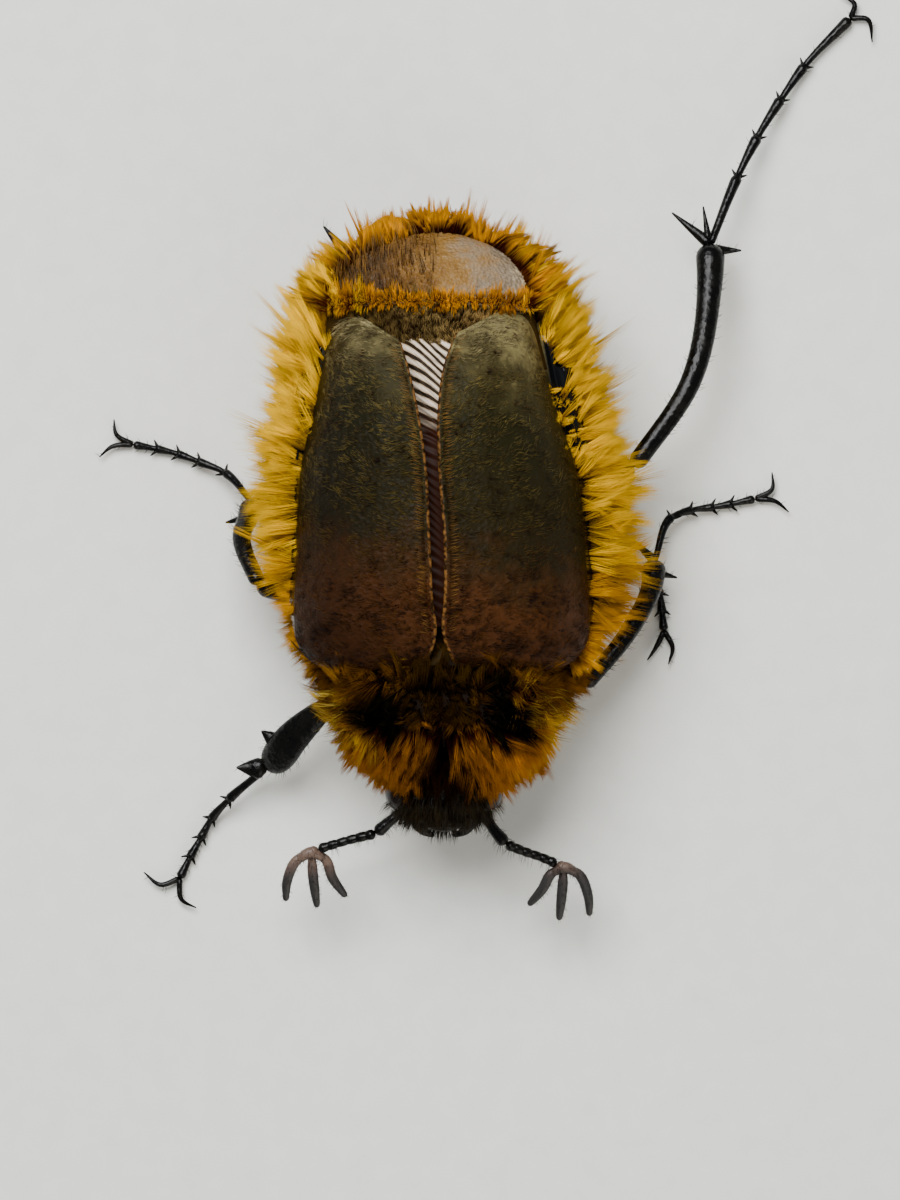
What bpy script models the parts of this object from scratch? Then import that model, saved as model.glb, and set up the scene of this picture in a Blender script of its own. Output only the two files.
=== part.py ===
# Bumblebee scarab beetle: a still, life-size model that stands on its six feet.
# The script runs in Blender 4.5 and makes one closed object for each part of the animal.
# Lengths are in millimetres until a mesh is made. +Z is up and the head points to -Y.
# Left and right are the animal's own sides, so its left side is +X.

import math
import random

import bmesh
import bpy
from mathutils import Vector

MM = 0.001
GAP = 0.3
CUT_MARGIN = 0.001
SEED = 7

# The trunk. A ring is (station along Y, top, half width of the back, bottom), and its widest place
# is the flank. The thorax and the abdomen begin and end at plain cuts.
PRONOTUM_FRONT = -5.8
PRONOTUM_BACK = -3.75
THORAX_FRONT = -3.45
THORAX_BACK = 0.6
ABDOMEN_FRONT = 0.9
ABDOMEN_BACK = 6.15
FLANK_HEIGHT = 2.55
FLANK_LEVEL_SHARE = 0.45
PROTHORAX_RINGS = [(PRONOTUM_FRONT, 4.3, 1.0, 2.2), (-5.4, 4.8, 1.55, 1.75), (-4.7, 5.2, 1.95, 1.45),
                   (-4.1, 5.42, 2.05, 1.4), (PRONOTUM_BACK, 5.42, 1.95, 1.5)]
PROTHORAX_FLANK = [(PRONOTUM_FRONT, 1.1), (-5.4, 1.75), (-4.7, 2.2), (-4.1, 2.3), (PRONOTUM_BACK, 2.2)]
THORAX_RINGS = [(THORAX_FRONT, 4.2, 2.1, 1.6), (-3.0, 4.5, 2.5, 1.4), (-2.0, 4.65, 2.55, 1.3),
                (-0.8, 4.7, 2.55, 1.3), (THORAX_BACK, 4.6, 2.5, 1.35)]
THORAX_FLANK = [(THORAX_FRONT, 2.3), (-3.0, 2.9), (-2.0, 3.15), (-0.8, 3.2), (THORAX_BACK, 3.2)]
ABDOMEN_RINGS = [(ABDOMEN_FRONT, 4.6, 2.45, 1.4), (2.2, 4.5, 2.35, 1.4), (3.6, 4.25, 2.15, 1.5),
                 (4.7, 3.75, 1.8, 1.65), (5.5, 3.2, 1.4, 1.8), (ABDOMEN_BACK, 2.65, 0.7, 1.95)]
ABDOMEN_FLANK = [(ABDOMEN_FRONT, 3.15), (2.2, 3.1), (3.6, 2.9), (4.7, 2.6), (5.5, 2.1), (ABDOMEN_BACK, 1.2)]

# The tail is carried a little toward the right side: how far the trunk moves along X.
TAIL_BEND = [(1.0, 0.0), (3.0, -0.1), (4.4, -0.26), (5.4, -0.33), (6.4, -0.2), (7.5, -0.05)]

# The wing cases. Their base and their tip curve from the seam to the side edge.
ELYTRON_THICKNESS = 0.5
ELYTRON_BASE = -3.4
ELYTRON_APEX = 4.8
ELYTRON_BASE_CURVE = [(0.0, 0.0), (0.45, -0.1), (0.6, -0.04), (0.73, 0.12), (0.86, 0.45), (1.0, 1.2)]
ELYTRON_APEX_CURVE = [(0.0, -0.5), (0.25, -0.05), (0.5, 0.0), (0.8, -0.3), (1.0, -0.9)]
ELYTRON_HEIGHT = [(-4.0, 5.5), (-2.5, 5.92), (0.0, 6.18), (3.0, 5.95), (4.2, 5.45), (5.0, 4.75)]
ELYTRON_EDGE_HEIGHT = 3.3
ELYTRON_ARCH = 2.6
ELYTRON_HALF_WIDTH = [(-4.0, 3.15), (-3.0, 3.45), (-1.0, 3.45), (1.5, 3.25), (4.0, 2.8), (5.0, 2.5)]
SUTURE_HALF_GAP = [(-4.0, 0.85), (-3.4, 0.78), (-2.75, 0.2), (-2.6, 0.16), (0.0, 0.17), (2.8, 0.36),
                   (4.2, 0.7), (5.0, 1.0)]

# The seam between the wing cases runs toward the right side, and the side edges follow it in part.
SUTURE_BEND = [(-4.0, -0.05), (-2.2, -0.12), (-0.8, -0.15), (1.4, -0.28), (2.5, -0.37), (3.6, -0.42),
               (5.0, -0.36)]
EDGE_BEND_SHARE = 0.4

# The folded hind wings below the notch of the wing cases.
WING_FOLD_FRONT = 0.2
WING_FOLD_BACK = 4.2
WING_FOLD_HALF_WIDTH = 1.15
WING_FOLD_THICKNESS = 0.35
WING_FOLD_DROP = 0.2
WING_FOLD_ARCH = 0.22
WING_VEIN_HEIGHT = 0.08
WING_VEIN_SLANT = 0.12

# The plate of the tail, as rows (station, height, half width), and the small plate of the base.
PYGIDIUM_ROWS = ((5.15, 4.6, 2.25), (5.55, 4.42, 2.3), (6.0, 4.12, 2.08), (6.4, 3.72, 1.6), (6.8, 3.2, 0.95))
PYGIDIUM_ARCH = 0.55
PYGIDIUM_BOW = 0.25
PYGIDIUM_THICKNESS = 0.45
SCUTELLUM_THICKNESS = 0.6
SCUTELLUM_HEIGHT = 5.76
SCUTELLUM_SLOPE = 0.09
SCUTELLUM_HALF_WIDTH = ((-3.4, 0.42), (-3.15, 0.22), (-3.0, 0.1))

# The coat: how far its tips stand from the middle line along the trunk, where that line runs, and
# the shape of a lock. A row of locks is (height of the root, height of the tip, drawn in by).
COAT_HALF_WIDTH = [(-3.6, 3.6), (-2.7, 4.05), (-1.5, 4.4), (0.0, 4.65), (2.0, 4.6), (4.5, 4.15), (6.0, 3.35),
                   (7.0, 2.25)]
COAT_BEND = [(-3.5, 0.15), (-1.5, 0.22), (-0.3, 0.05), (1.0, 0.0), (3.0, -0.1), (4.5, -0.25), (5.5, -0.3)]
COAT_ROWS = [(2.35, 3.55, 0.0), (2.1, 2.7, 0.12), (1.8, 1.75, 0.75)]
COAT_LEAN = 0.35
COAT_SAG = 0.12
LOCK_SPACING = 0.6
LOCK_RADIUS = 0.6
LOCK_FLATNESS = 0.62
LOCK_ROOT_DEPTH = 0.75
LOCK_TIP_SCATTER = 0.14

# The locks behind the abdomen, as rows (height of the root, height of the tip, drawn in by).
BACK_ROWS = ((2.05, 2.8, 0.0), (1.95, 2.05, 0.3))
BACK_LOCKS = 9
BACK_HALF_WIDTH = 2.4
BACK_ROOT = 5.35
BACK_TIP = 7.4
BACK_CURVE = 0.14
BACK_SAG = 0.25

# The locks round the fore trunk, on an arch that widens and rises toward the back.
COLLAR_STATIONS = (-4.25, -4.85, -5.4)
COLLAR_CENTRE_HEIGHT = 3.25
COLLAR_WIDTH = [(-5.8, 1.2), (-5.4, 1.6), (-4.7, 2.05), (-4.1, 2.15)]
COLLAR_RISE = [(-5.8, 1.1), (-5.4, 1.5), (-4.7, 1.93), (-4.1, 2.1)]
COLLAR_LOCKS = 13
COLLAR_SPREAD = 2.2
COLLAR_LOCK_LENGTH = 1.15
COLLAR_LOCK_RADIUS = 0.51
COLLAR_ROOT_DEPTH = 0.5

# The head, as rings (station along Y, middle height, half width, half height), and its eyes and jaws.
HEAD_RINGS = [(-6.1, 3.15, 0.75, 0.75), (-6.35, 3.1, 1.05, 0.85), (-6.7, 2.85, 1.0, 0.75),
              (-6.95, 2.6, 0.85, 0.5), (-7.05, 2.5, 0.75, 0.35)]
HEAD_SIDES = 14
EYE_CENTRE = (1.1, -6.42, 3.2)
EYE_RADII = (0.3, 0.36, 0.42)
MANDIBLE_PATH = ((0.62, -6.75, 1.72), (0.62, -7.05, 1.68), (0.42, -7.3, 1.64), (0.22, -7.42, 1.62))
MANDIBLE_RADII = (0.26, 0.25, 0.2)

# Thickness of the limbs, as radii, with its share along the thigh and the shin. A thigh or a shin
# is thicker in the hind legs than in the others.
FEMUR_RADIUS = 0.46
FEMUR_SHAPE = (0.95, 1.05, 0.95, 0.7)
FEMUR_SHARES = {"hind": 1.0, "mid": 0.85, "fore": 0.85}
TIBIA_RADIUS = 0.3
TIBIA_SHAPE = (0.85, 1.0, 1.15, 1.4)
TIBIA_SHARES = {"hind": 1.05, "mid": 0.9, "fore": 0.9}
TARSUS_RADIUS = 0.26
TARSUS_SHARES = (0.92, 1.08)
CLAW_RADIUS = 0.25
SPUR_RADIUS = 0.21
SPUR_ROOT_SHARE = 0.6
SPUR_ROOT_OFFSET = 0.18
SOLE_LEVEL = 0.05
END_ROUNDING = 0.25

# The limbs, as the points that their middle lines pass through, from the body to the tip.
LEGS = {
    "hind_left": {
        "femur": [(0.75, 0.25, 0.78), (2.2, 0.6, 1.35), (3.6, 1.0, 2.25), (4.45, 1.25, 2.6)],
        "tibia": [(5.81, 3.3, 2.3), (6.25, 5.62, 1.7), (6.27, 6.5, 1.45)],
        "spurs": [(5.36, 7.25, 1.3), (7.0, 6.35, 1.5)],
        "tarsus": [(6.93, 8.13, 0.95), (7.4, 9.06, 0.7), (7.96, 9.96, 0.45),
                   (8.52, 10.75, 0.3), (9.6, 11.87, 0.22)],
        "claws": [[(10.0, 11.85, 0.25), (10.12, 11.3, 0.24)], [(9.7, 12.2, 0.25), (9.3, 12.45, 0.24)]],
    },
    "hind_right": {
        "femur": [(-0.75, 0.25, 0.78), (-1.9, 0.7, 1.1), (-2.9, 1.3, 1.4), (-3.4, 1.75, 1.65)],
        "tibia": [(-3.15, 3.7, 1.3), (-2.6, 5.3, 0.95), (-2.3, 6.3, 0.8)],
        "spurs": [(-2.85, 6.95, 0.7), (-1.75, 5.7, 0.7)],
        "tarsus": [(-1.2, 7.1, 0.4), (-0.3, 6.75, 0.3), (0.5, 6.1, 0.25),
                   (1.1, 5.3, 0.22), (1.45, 4.3, 0.21)],
        "claws": [[(1.75, 3.8, 0.24), (1.75, 3.3, 0.24)], [(1.25, 3.75, 0.24), (0.95, 3.4, 0.24)]],
    },
    "mid_left": {
        "femur": [(0.8, -1.55, 0.72), (1.9, -2.5, 1.0), (2.9, -3.5, 1.85), (3.3, -3.9, 2.3)],
        "tibia": [(4.35, -2.6, 2.0), (4.9, -1.5, 1.4), (4.96, -0.95, 1.05)],
        "spurs": [(4.4, -0.4, 0.85), (5.5, -1.35, 1.05)],
        "tarsus": [(5.4, 0.1, 0.55), (5.85, 0.25, 0.35), (6.35, 0.32, 0.26),
                   (6.8, 0.4, 0.23), (7.35, 0.52, 0.21)],
        "claws": [[(7.75, 0.75, 0.24), (7.75, 1.15, 0.24)], [(7.85, 0.45, 0.24), (8.15, 0.2, 0.24)]],
    },
    "mid_right": {
        "femur": [(-0.8, -1.55, 0.72), (-2.2, -1.6, 1.05), (-3.5, -1.6, 2.2), (-4.35, -1.5, 2.95)],
        "tibia": [(-4.75, -0.4, 2.15), (-4.6, 0.1, 1.5), (-4.5, 0.4, 1.1)],
        "spurs": [(-3.95, 0.85, 0.95), (-5.15, -0.05, 1.35)],
        "tarsus": [(-5.2, 1.15, 0.5), (-5.81, 1.4, 0.32), (-6.3, 1.58, 0.25),
                   (-6.8, 1.7, 0.22), (-7.35, 1.8, 0.21)],
        "claws": [[(-7.75, 2.05, 0.24), (-7.8, 2.4, 0.24)], [(-7.85, 1.75, 0.24), (-8.15, 1.5, 0.24)]],
    },
    "fore_left": {
        "femur": [(0.7, -4.5, 0.78), (1.4, -4.45, 0.74), (2.1, -4.2, 0.62), (2.5, -3.9, 0.6)],
        "tibia": [(3.0, -2.9, 0.5), (3.45, -2.0, 0.47), (3.65, -1.65, 0.46)],
        "spurs": [(4.15, -2.2, 0.45), (3.3, -1.1, 0.45)],
        "tarsus": [(4.55, -1.1, 0.3), (4.95, -1.35, 0.23), (5.1, -1.75, 0.22),
                   (5.15, -2.15, 0.22), (5.2, -2.6, 0.21)],
        "claws": [[(5.4, -3.0, 0.24), (5.3, -3.4, 0.24)], [(5.0, -3.0, 0.24), (4.8, -3.3, 0.24)]],
    },
    "fore_right": {
        "femur": [(-0.7, -4.5, 0.78), (-1.5, -4.45, 1.15), (-2.2, -4.4, 1.75), (-2.75, -4.35, 2.2)],
        "tibia": [(-3.6, -5.15, 1.65), (-3.95, -5.6, 1.25), (-4.2, -5.85, 1.0)],
        "spurs": [(-4.85, -5.6, 1.0), (-4.25, -4.9, 1.5)],
        "tarsus": [(-5.1, -6.6, 0.5), (-5.5, -7.05, 0.3), (-5.75, -7.5, 0.24),
                   (-6.0, -7.95, 0.22), (-6.25, -8.45, 0.21)],
        "claws": [[(-6.7, -8.6, 0.24), (-7.1, -8.3, 0.24)], [(-6.2, -8.95, 0.24), (-5.85, -9.15, 0.24)]],
    },
}

# The feelers: a jointed stem and a club of three leaves on each side.
STEM_RADII = (0.3, 0.25, 0.25, 0.27)
CLUB_HUB_RADII = (0.26, 0.34)
CLUB_LEAF_RADII = (0.25, 0.27, 0.25)
FEELERS = {
    "right": {
        "stem": [(-1.2, -7.0, 2.5), (-1.6, -7.35, 2.4), (-2.2, -7.5, 2.3), (-2.55, -7.6, 2.25)],
        "root": (-3.1, -7.8, 2.15),
        "leaves": [[(-3.5, -8.15, 2.05), (-3.7, -8.95, 1.85)], [(-3.1, -8.3, 2.05), (-2.98, -9.1, 1.85)],
                   [(-2.7, -8.3, 2.05), (-2.3, -8.85, 1.85)]],
    },
    "left": {
        "stem": [(1.1, -7.15, 2.5), (1.45, -7.6, 2.4), (1.95, -7.8, 2.3), (2.25, -7.9, 2.25)],
        "root": (2.8, -8.15, 2.15),
        "leaves": [[(3.25, -8.5, 2.05), (3.4, -9.3, 1.85)], [(2.8, -8.7, 2.05), (2.7, -9.4, 1.85)],
                   [(2.4, -8.6, 2.05), (1.98, -9.05, 1.85)]],
    },
}

BLACK = (0.012, 0.011, 0.011, 1.0)
BROWN = (0.05, 0.035, 0.02, 1.0)
AMBER = (0.75, 0.4, 0.05, 1.0)
PALE = (0.7, 0.6, 0.5, 1.0)


def point(values):
    """A point from three numbers."""
    return Vector(values)


def value_at(table, station):
    """The value at a station, from a short list of (station, value) pairs."""
    if station <= table[0][0]:
        return table[0][1]
    for (start, low), (end, high) in zip(table, table[1:]):
        if station <= end:
            share = (station - start) / (end - start)
            return low + (high - low) * share
    return table[-1][1]


def make_object(name, points, faces):
    """A mesh object from points in millimetres, with its faces turned outward."""
    mesh = bpy.data.meshes.new(name)
    mesh.from_pydata([p * MM for p in points], [], faces)
    work = bmesh.new()
    work.from_mesh(mesh)
    bmesh.ops.recalc_face_normals(work, faces=work.faces)
    bmesh.ops.triangulate(work, faces=work.faces)
    work.to_mesh(mesh)
    work.free()
    made = bpy.data.objects.new(name, mesh)
    bpy.context.scene.collection.objects.link(made)
    return made


def loft(name, rings, start=None, end=None):
    """A closed solid through rings with the same number of points, closed at both ends."""
    points = [p for ring in rings for p in ring]
    count = len(rings[0])
    faces = []
    for row in range(len(rings) - 1):
        for k in range(count):
            a = row * count + k
            b = row * count + (k + 1) % count
            faces.append((a, b, b + count, a + count))
    for row, tip in ((0, start), (len(rings) - 1, end)):
        ring = rings[row]
        points.append(tip if tip else sum(ring, Vector()) / count)
        for k in range(count):
            faces.append((row * count + k, row * count + (k + 1) % count, len(points) - 1))
    return make_object(name, points, faces)


def directions(path):
    """The side and the upper direction at each point of a path, turned as little as can be."""
    upper = Vector((0.0, 0.0, 1.0))
    found = []
    for i in range(len(path)):
        heading = (path[min(i + 1, len(path) - 1)] - path[max(i - 1, 0)]).normalized()
        side = heading.cross(upper).normalized()
        upper = side.cross(heading).normalized()
        found.append((side, upper))
    return found


def tube(name, path, radii, sides=7, flatness=1.0, start=None, end=None):
    """A limb along a path, with a radius at each point; flatness under 1 makes it flat."""
    rings = []
    for middle, radius, (side, upper) in zip(path, radii, directions(path)):
        ring = []
        for k in range(sides):
            angle = 2.0 * math.pi * (k + 0.5) / sides
            across = side * (math.cos(angle) * radius)
            ring.append(middle + across + upper * (math.sin(angle) * radius * flatness))
        rings.append(ring)
    return loft(name, rings, start, end)


def ellipsoid(name, centre, radii, sides=14, levels=7):
    """An egg shape around a centre, with its own radius along each axis."""
    rings = []
    for level in range(1, levels):
        lift = math.pi * level / levels
        ring = []
        for k in range(sides):
            turn = 2.0 * math.pi * k / sides
            flat = math.sin(lift)
            offset = Vector((math.cos(turn) * flat * radii[0], math.sin(turn) * flat * radii[1],
                             math.cos(lift) * radii[2]))
            ring.append(centre + offset)
        rings.append(ring)
    top = centre + Vector((0.0, 0.0, radii[2]))
    bottom = centre - Vector((0.0, 0.0, radii[2]))
    return loft(name, rings, top, bottom)


def rim_direction(along, normal, outward):
    """The direction square to the rim of a plate, in its plane and away from it."""
    square = along.cross(normal).normalized()
    return square if square.dot(outward) > 0.0 else -square


def shell(name, grid, thickness, extra=0.0):
    """A closed plate whose outer face runs through a grid of points.

    With extra thickness it reaches that much further on every side, as the room to cut for it.
    """
    rows = len(grid)
    columns = len(grid[0])
    outer = []
    inner = []
    for i in range(rows):
        for k in range(columns):
            down = grid[min(i + 1, rows - 1)][k] - grid[max(i - 1, 0)][k]
            over = grid[i][min(k + 1, columns - 1)] - grid[i][max(k - 1, 0)]
            normal = over.cross(down).normalized()
            if normal.z < 0.0:
                normal.negate()
            away = []
            if i in (0, rows - 1):
                away.append(rim_direction(over, normal, down if i else -down))
            if k in (0, columns - 1):
                away.append(rim_direction(down, normal, over if k else -over))
            mitre = 1.0 + away[0].dot(away[1]) if len(away) == 2 else 1.0
            place = grid[i][k] + sum(away, Vector()) * (extra / mitre)
            outer.append(place + normal * extra)
            inner.append(place - normal * (thickness + extra))
    size = rows * columns
    faces = []
    for i in range(rows - 1):
        for k in range(columns - 1):
            a = i * columns + k
            quad = (a, a + 1, a + columns + 1, a + columns)
            faces.append(quad)
            faces.append(tuple(size + n for n in quad))
    border = [k for k in range(columns)]
    border += [i * columns + columns - 1 for i in range(1, rows)]
    border += [(rows - 1) * columns + k for k in range(columns - 2, -1, -1)]
    border += [i * columns for i in range(rows - 2, 0, -1)]
    for a, b in zip(border, border[1:] + border[:1]):
        faces.append((a, b, size + b, size + a))
    return make_object(name, outer + inner, faces)


def combine(target, pieces, operation):
    """One Boolean of the target with a group of closed pieces, which are then removed.

    The MANIFOLD solver does it, because EXACT left open edges where many locks cross in one place.
    """
    group = bpy.data.collections.new("pieces")
    bpy.context.scene.collection.children.link(group)
    for piece in pieces:
        bpy.context.scene.collection.objects.unlink(piece)
        group.objects.link(piece)
    step = target.modifiers.new("combine", "BOOLEAN")
    step.operation = operation
    step.operand_type = "COLLECTION"
    step.collection = group
    step.solver = "MANIFOLD"
    with bpy.context.temp_override(object=target, active_object=target, selected_objects=[target]):
        bpy.ops.object.modifier_apply(modifier=step.name)
    for piece in list(group.objects):
        bpy.data.objects.remove(piece, do_unlink=True)
    bpy.data.collections.remove(group)
    keep_largest(target)


def keep_largest(target):
    """Keep only the largest closed surface of an object."""
    work = bmesh.new()
    work.from_mesh(target.data)
    unseen = set(work.verts)
    islands = []
    while unseen:
        seed = unseen.pop()
        island = {seed}
        queue = [seed]
        while queue:
            vert = queue.pop()
            for edge in vert.link_edges:
                other = edge.other_vert(vert)
                if other in unseen:
                    unseen.remove(other)
                    island.add(other)
                    queue.append(other)
        islands.append(island)
    islands.sort(key=len)
    for island in islands[:-1]:
        bmesh.ops.delete(work, geom=list(island), context="VERTS")
    work.to_mesh(target.data)
    work.free()


def trunk_ring(station, top, upper_half, bottom, flank):
    """One ring of the trunk: a back that fits below the wing cases, and wider flanks."""
    flank_half = value_at(flank, station)
    level = min(FLANK_HEIGHT, bottom + FLANK_LEVEL_SHARE * (top - bottom))
    above = top - level
    below = level - bottom
    half = [(0.0, top), (0.55 * upper_half, top - 0.04 * above), (0.88 * upper_half, top - 0.2 * above),
            (upper_half, level + 0.28 * above), (flank_half, level),
            (0.96 * flank_half, level - 0.32 * below), (0.72 * flank_half, bottom + 0.24 * below),
            (0.38 * flank_half, bottom + 0.04 * below), (0.0, bottom)]
    middle = value_at(TAIL_BEND, station)
    right = [Vector((middle + x, station, z)) for x, z in half]
    left = [Vector((middle - x, station, z)) for x, z in reversed(half[1:-1])]
    return right + left


def lock(root, tip, sag, radius=LOCK_RADIUS):
    """One flat, tapered lock of hair that sags on its way from its root to its tip."""
    bend = Vector((0.0, 0.0, sag))
    path = [root, root.lerp(tip, 0.45) - bend, root.lerp(tip, 0.75) - 0.8 * bend]
    radii = (radius, radius, 0.72 * radius)
    return tube("lock", path, radii, 4, LOCK_FLATNESS, end=tip)


def side_locks(first, last, flank):
    """Rows of locks on both flanks, which overlap along the trunk and stand out from it."""
    made = []
    count = int((last - first) / LOCK_SPACING)
    for row, (root_height, tip_height, inset) in enumerate(COAT_ROWS):
        for k in range(count + 1):
            y = first + (last - first) * (k + 0.5 * (row % 2)) / (count + 0.5)
            for side in (-1, 1):
                scatter = random.uniform(-LOCK_TIP_SCATTER, LOCK_TIP_SCATTER)
                reach = value_at(COAT_HALF_WIDTH, y) - inset + scatter
                root_x = value_at(TAIL_BEND, y) + side * (value_at(flank, y) - LOCK_ROOT_DEPTH)
                tip_x = value_at(COAT_BEND, y) + side * reach
                tip = Vector((tip_x, y + COAT_LEAN + scatter, tip_height + scatter))
                made.append(lock(Vector((root_x, y, root_height)), tip, COAT_SAG))
    return made


def back_locks():
    """Two rows of locks that stand out behind the abdomen, below its bare plate."""
    made = []
    for row, (root_height, tip_height, inset) in enumerate(BACK_ROWS):
        for k in range(BACK_LOCKS):
            share = (k + 0.3 * row) / (BACK_LOCKS - 0.6)
            x = BACK_HALF_WIDTH * (2.0 * share - 1.0)
            scatter = random.uniform(-LOCK_TIP_SCATTER, LOCK_TIP_SCATTER)
            reach = BACK_TIP - inset - BACK_CURVE * x * x + 0.6 * scatter
            root_y = BACK_ROOT - 0.1 * x * x
            root = Vector((value_at(TAIL_BEND, root_y) + 0.62 * x, root_y, root_height))
            tip = Vector((value_at(TAIL_BEND, reach) + 1.1 * x, reach, tip_height + scatter))
            made.append(lock(root, tip, BACK_SAG))
    return made


def collar_locks():
    """Locks all round the fore trunk, which lie forward and stand out at its sides."""
    made = []
    for row, y in enumerate(COLLAR_STATIONS):
        across = value_at(COLLAR_WIDTH, y)
        rise = value_at(COLLAR_RISE, y)
        for k in range(COLLAR_LOCKS):
            share = (k + 0.5 * (row % 2)) / (COLLAR_LOCKS - 0.5)
            angle = COLLAR_SPREAD * (2.0 * share - 1.0)
            outward = Vector((math.sin(angle), 0.0, math.cos(angle)))
            surface = Vector((outward.x * across, y, COLLAR_CENTRE_HEIGHT + outward.z * rise))
            scatter = random.uniform(-LOCK_TIP_SCATTER, LOCK_TIP_SCATTER)
            length = COLLAR_LOCK_LENGTH * (1.0 + 0.5 * abs(outward.x)) * (0.75 if outward.z > 0.6 else 0.95)
            lie = outward * (0.45 + 0.4 * abs(outward.x)) + Vector((0.0, -0.75, 0.0))
            tip = surface + lie.normalized() * (length + scatter)
            made.append(lock(surface - outward * COLLAR_ROOT_DEPTH, tip, 0.0, COLLAR_LOCK_RADIUS))
    return made


def slab(front, back):
    """A wide block between two stations, to part the trunk there."""
    corners = ((-9.0, -2.0), (9.0, -2.0), (9.0, 9.0), (-9.0, 9.0))
    rings = [[Vector((x, y, z)) for x, z in corners] for y in (front, back)]
    return loft("room", rings)


def build_thorax():
    """The middle of the trunk, which carries the wing cases and four of the legs."""
    thorax = loft("thorax", [trunk_ring(*ring, THORAX_FLANK) for ring in THORAX_RINGS])
    combine(thorax, side_locks(THORAX_FRONT + 0.25, THORAX_BACK - 0.25, THORAX_FLANK), "UNION")
    beyond = [slab(-9.0, THORAX_FRONT - CUT_MARGIN), slab(THORAX_BACK + CUT_MARGIN, 9.0)]
    combine(thorax, beyond, "DIFFERENCE")
    return thorax


def build_abdomen():
    """The rear of the trunk, which narrows to a tip with a fringe of hair around it."""
    abdomen = loft("abdomen", [trunk_ring(*ring, ABDOMEN_FLANK) for ring in ABDOMEN_RINGS])
    combine(abdomen, side_locks(ABDOMEN_FRONT + 0.2, 5.5, ABDOMEN_FLANK) + back_locks(), "UNION")
    combine(abdomen, [slab(-9.0, ABDOMEN_FRONT - CUT_MARGIN)], "DIFFERENCE")
    return abdomen


def build_prothorax():
    """The fore part of the trunk, which carries the head and the fore legs."""
    prothorax = loft("prothorax", [trunk_ring(*ring, PROTHORAX_FLANK) for ring in PROTHORAX_RINGS])
    combine(prothorax, collar_locks(), "UNION")
    combine(prothorax, [slab(PRONOTUM_BACK + CUT_MARGIN, 9.0)], "DIFFERENCE")
    return prothorax


def elytron_grid(side):
    """Points of the outer face of one wing case, from its base to its tip."""
    rows = 12
    columns = 8
    grid = []
    for i in range(rows):
        line = []
        for k in range(columns):
            share = k / (columns - 1)
            across = math.sin(0.5 * math.pi * share)
            first = ELYTRON_BASE + value_at(ELYTRON_BASE_CURVE, share)
            last = ELYTRON_APEX + value_at(ELYTRON_APEX_CURVE, share)
            y = first + (last - first) * i / (rows - 1)
            inner = value_at(SUTURE_HALF_GAP, y)
            outer = value_at(ELYTRON_HALF_WIDTH, y)
            x = inner + (outer - inner) * across
            rise = value_at(ELYTRON_HEIGHT, y) - ELYTRON_EDGE_HEIGHT
            z = ELYTRON_EDGE_HEIGHT + rise * math.sqrt(max(0.0, 1.0 - (x / outer) ** ELYTRON_ARCH))
            bend = value_at(SUTURE_BEND, y) * (1.0 - (1.0 - EDGE_BEND_SHARE) * across)
            line.append(Vector((side * x + bend, y, z)))
        grid.append(line)
    return grid


def wing_fold_grid():
    """The folded hind wings in the notch between the wing cases, with their veins as ridges."""
    rows = 17
    grid = []
    for i in range(rows):
        y = WING_FOLD_FRONT + (WING_FOLD_BACK - WING_FOLD_FRONT) * i / (rows - 1)
        ridge = WING_VEIN_HEIGHT if i % 2 else 0.0
        height = value_at(ELYTRON_HEIGHT, y) - ELYTRON_THICKNESS - GAP - WING_FOLD_DROP
        line = []
        for share in (-1.0, -0.5, 0.0, 0.5, 1.0):
            x = value_at(SUTURE_BEND, y) + share * WING_FOLD_HALF_WIDTH
            z = height - WING_FOLD_ARCH * share ** 2 + ridge
            line.append(Vector((x, y + WING_VEIN_SLANT * share, z)))
        grid.append(line)
    return grid


def pygidium_grid():
    """The bare plate that closes the abdomen behind the wing cases."""
    grid = []
    for y, z, half in PYGIDIUM_ROWS:
        line = []
        for share in (-1.0, -0.66, -0.33, 0.0, 0.33, 0.66, 1.0):
            x = value_at(TAIL_BEND, y) + share * half
            line.append(Vector((x, y - PYGIDIUM_BOW * share ** 2, z - PYGIDIUM_ARCH * abs(share) ** 2.4)))
        grid.append(line)
    return grid


def scutellum_grid():
    """The small triangle between the bases of the wing cases."""
    grid = []
    for y, half in SCUTELLUM_HALF_WIDTH:
        row = []
        for x in (-half, 0.0, half):
            row.append(Vector((value_at(SUTURE_BEND, y) + x, y, SCUTELLUM_HEIGHT - SCUTELLUM_SLOPE * abs(x))))
        grid.append(row)
    return grid


def build_head(name, extra=0.0):
    """The head with its shield, bent down in front; with extra size it is the room cut for it."""
    back = HEAD_RINGS[0][0]
    front = HEAD_RINGS[-1][0]
    rings = []
    for y, z, half, rise in HEAD_RINGS:
        reach = extra * (2.0 * y - back - front) / (back - front)
        ring = []
        for k in range(HEAD_SIDES):
            angle = 2.0 * math.pi * k / HEAD_SIDES
            across = math.cos(angle) * (half + extra)
            ring.append(Vector((across, y + reach, z + math.sin(angle) * (rise + extra))))
        rings.append(ring)
    return loft(name, rings)


def eye_ball(name, side, extra):
    """One eye, or the socket that is cut for it when it is made larger."""
    x, y, z = EYE_CENTRE
    return ellipsoid(name, Vector((side * x, y, z)), [radius + extra for radius in EYE_RADII])


def build_mandible(name, side):
    """One jaw, a short hook below the front of the head."""
    *path, tip = [Vector((side * x, y, z)) for x, y, z in MANDIBLE_PATH]
    return tube(name, path, MANDIBLE_RADII, 6, 0.9, end=tip)


def build_feeler(name, stem_path):
    """The stem of one feeler, thick at its first joint."""
    path = [point(values) for values in stem_path]
    return tube(name, path, STEM_RADII, 6)


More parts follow.
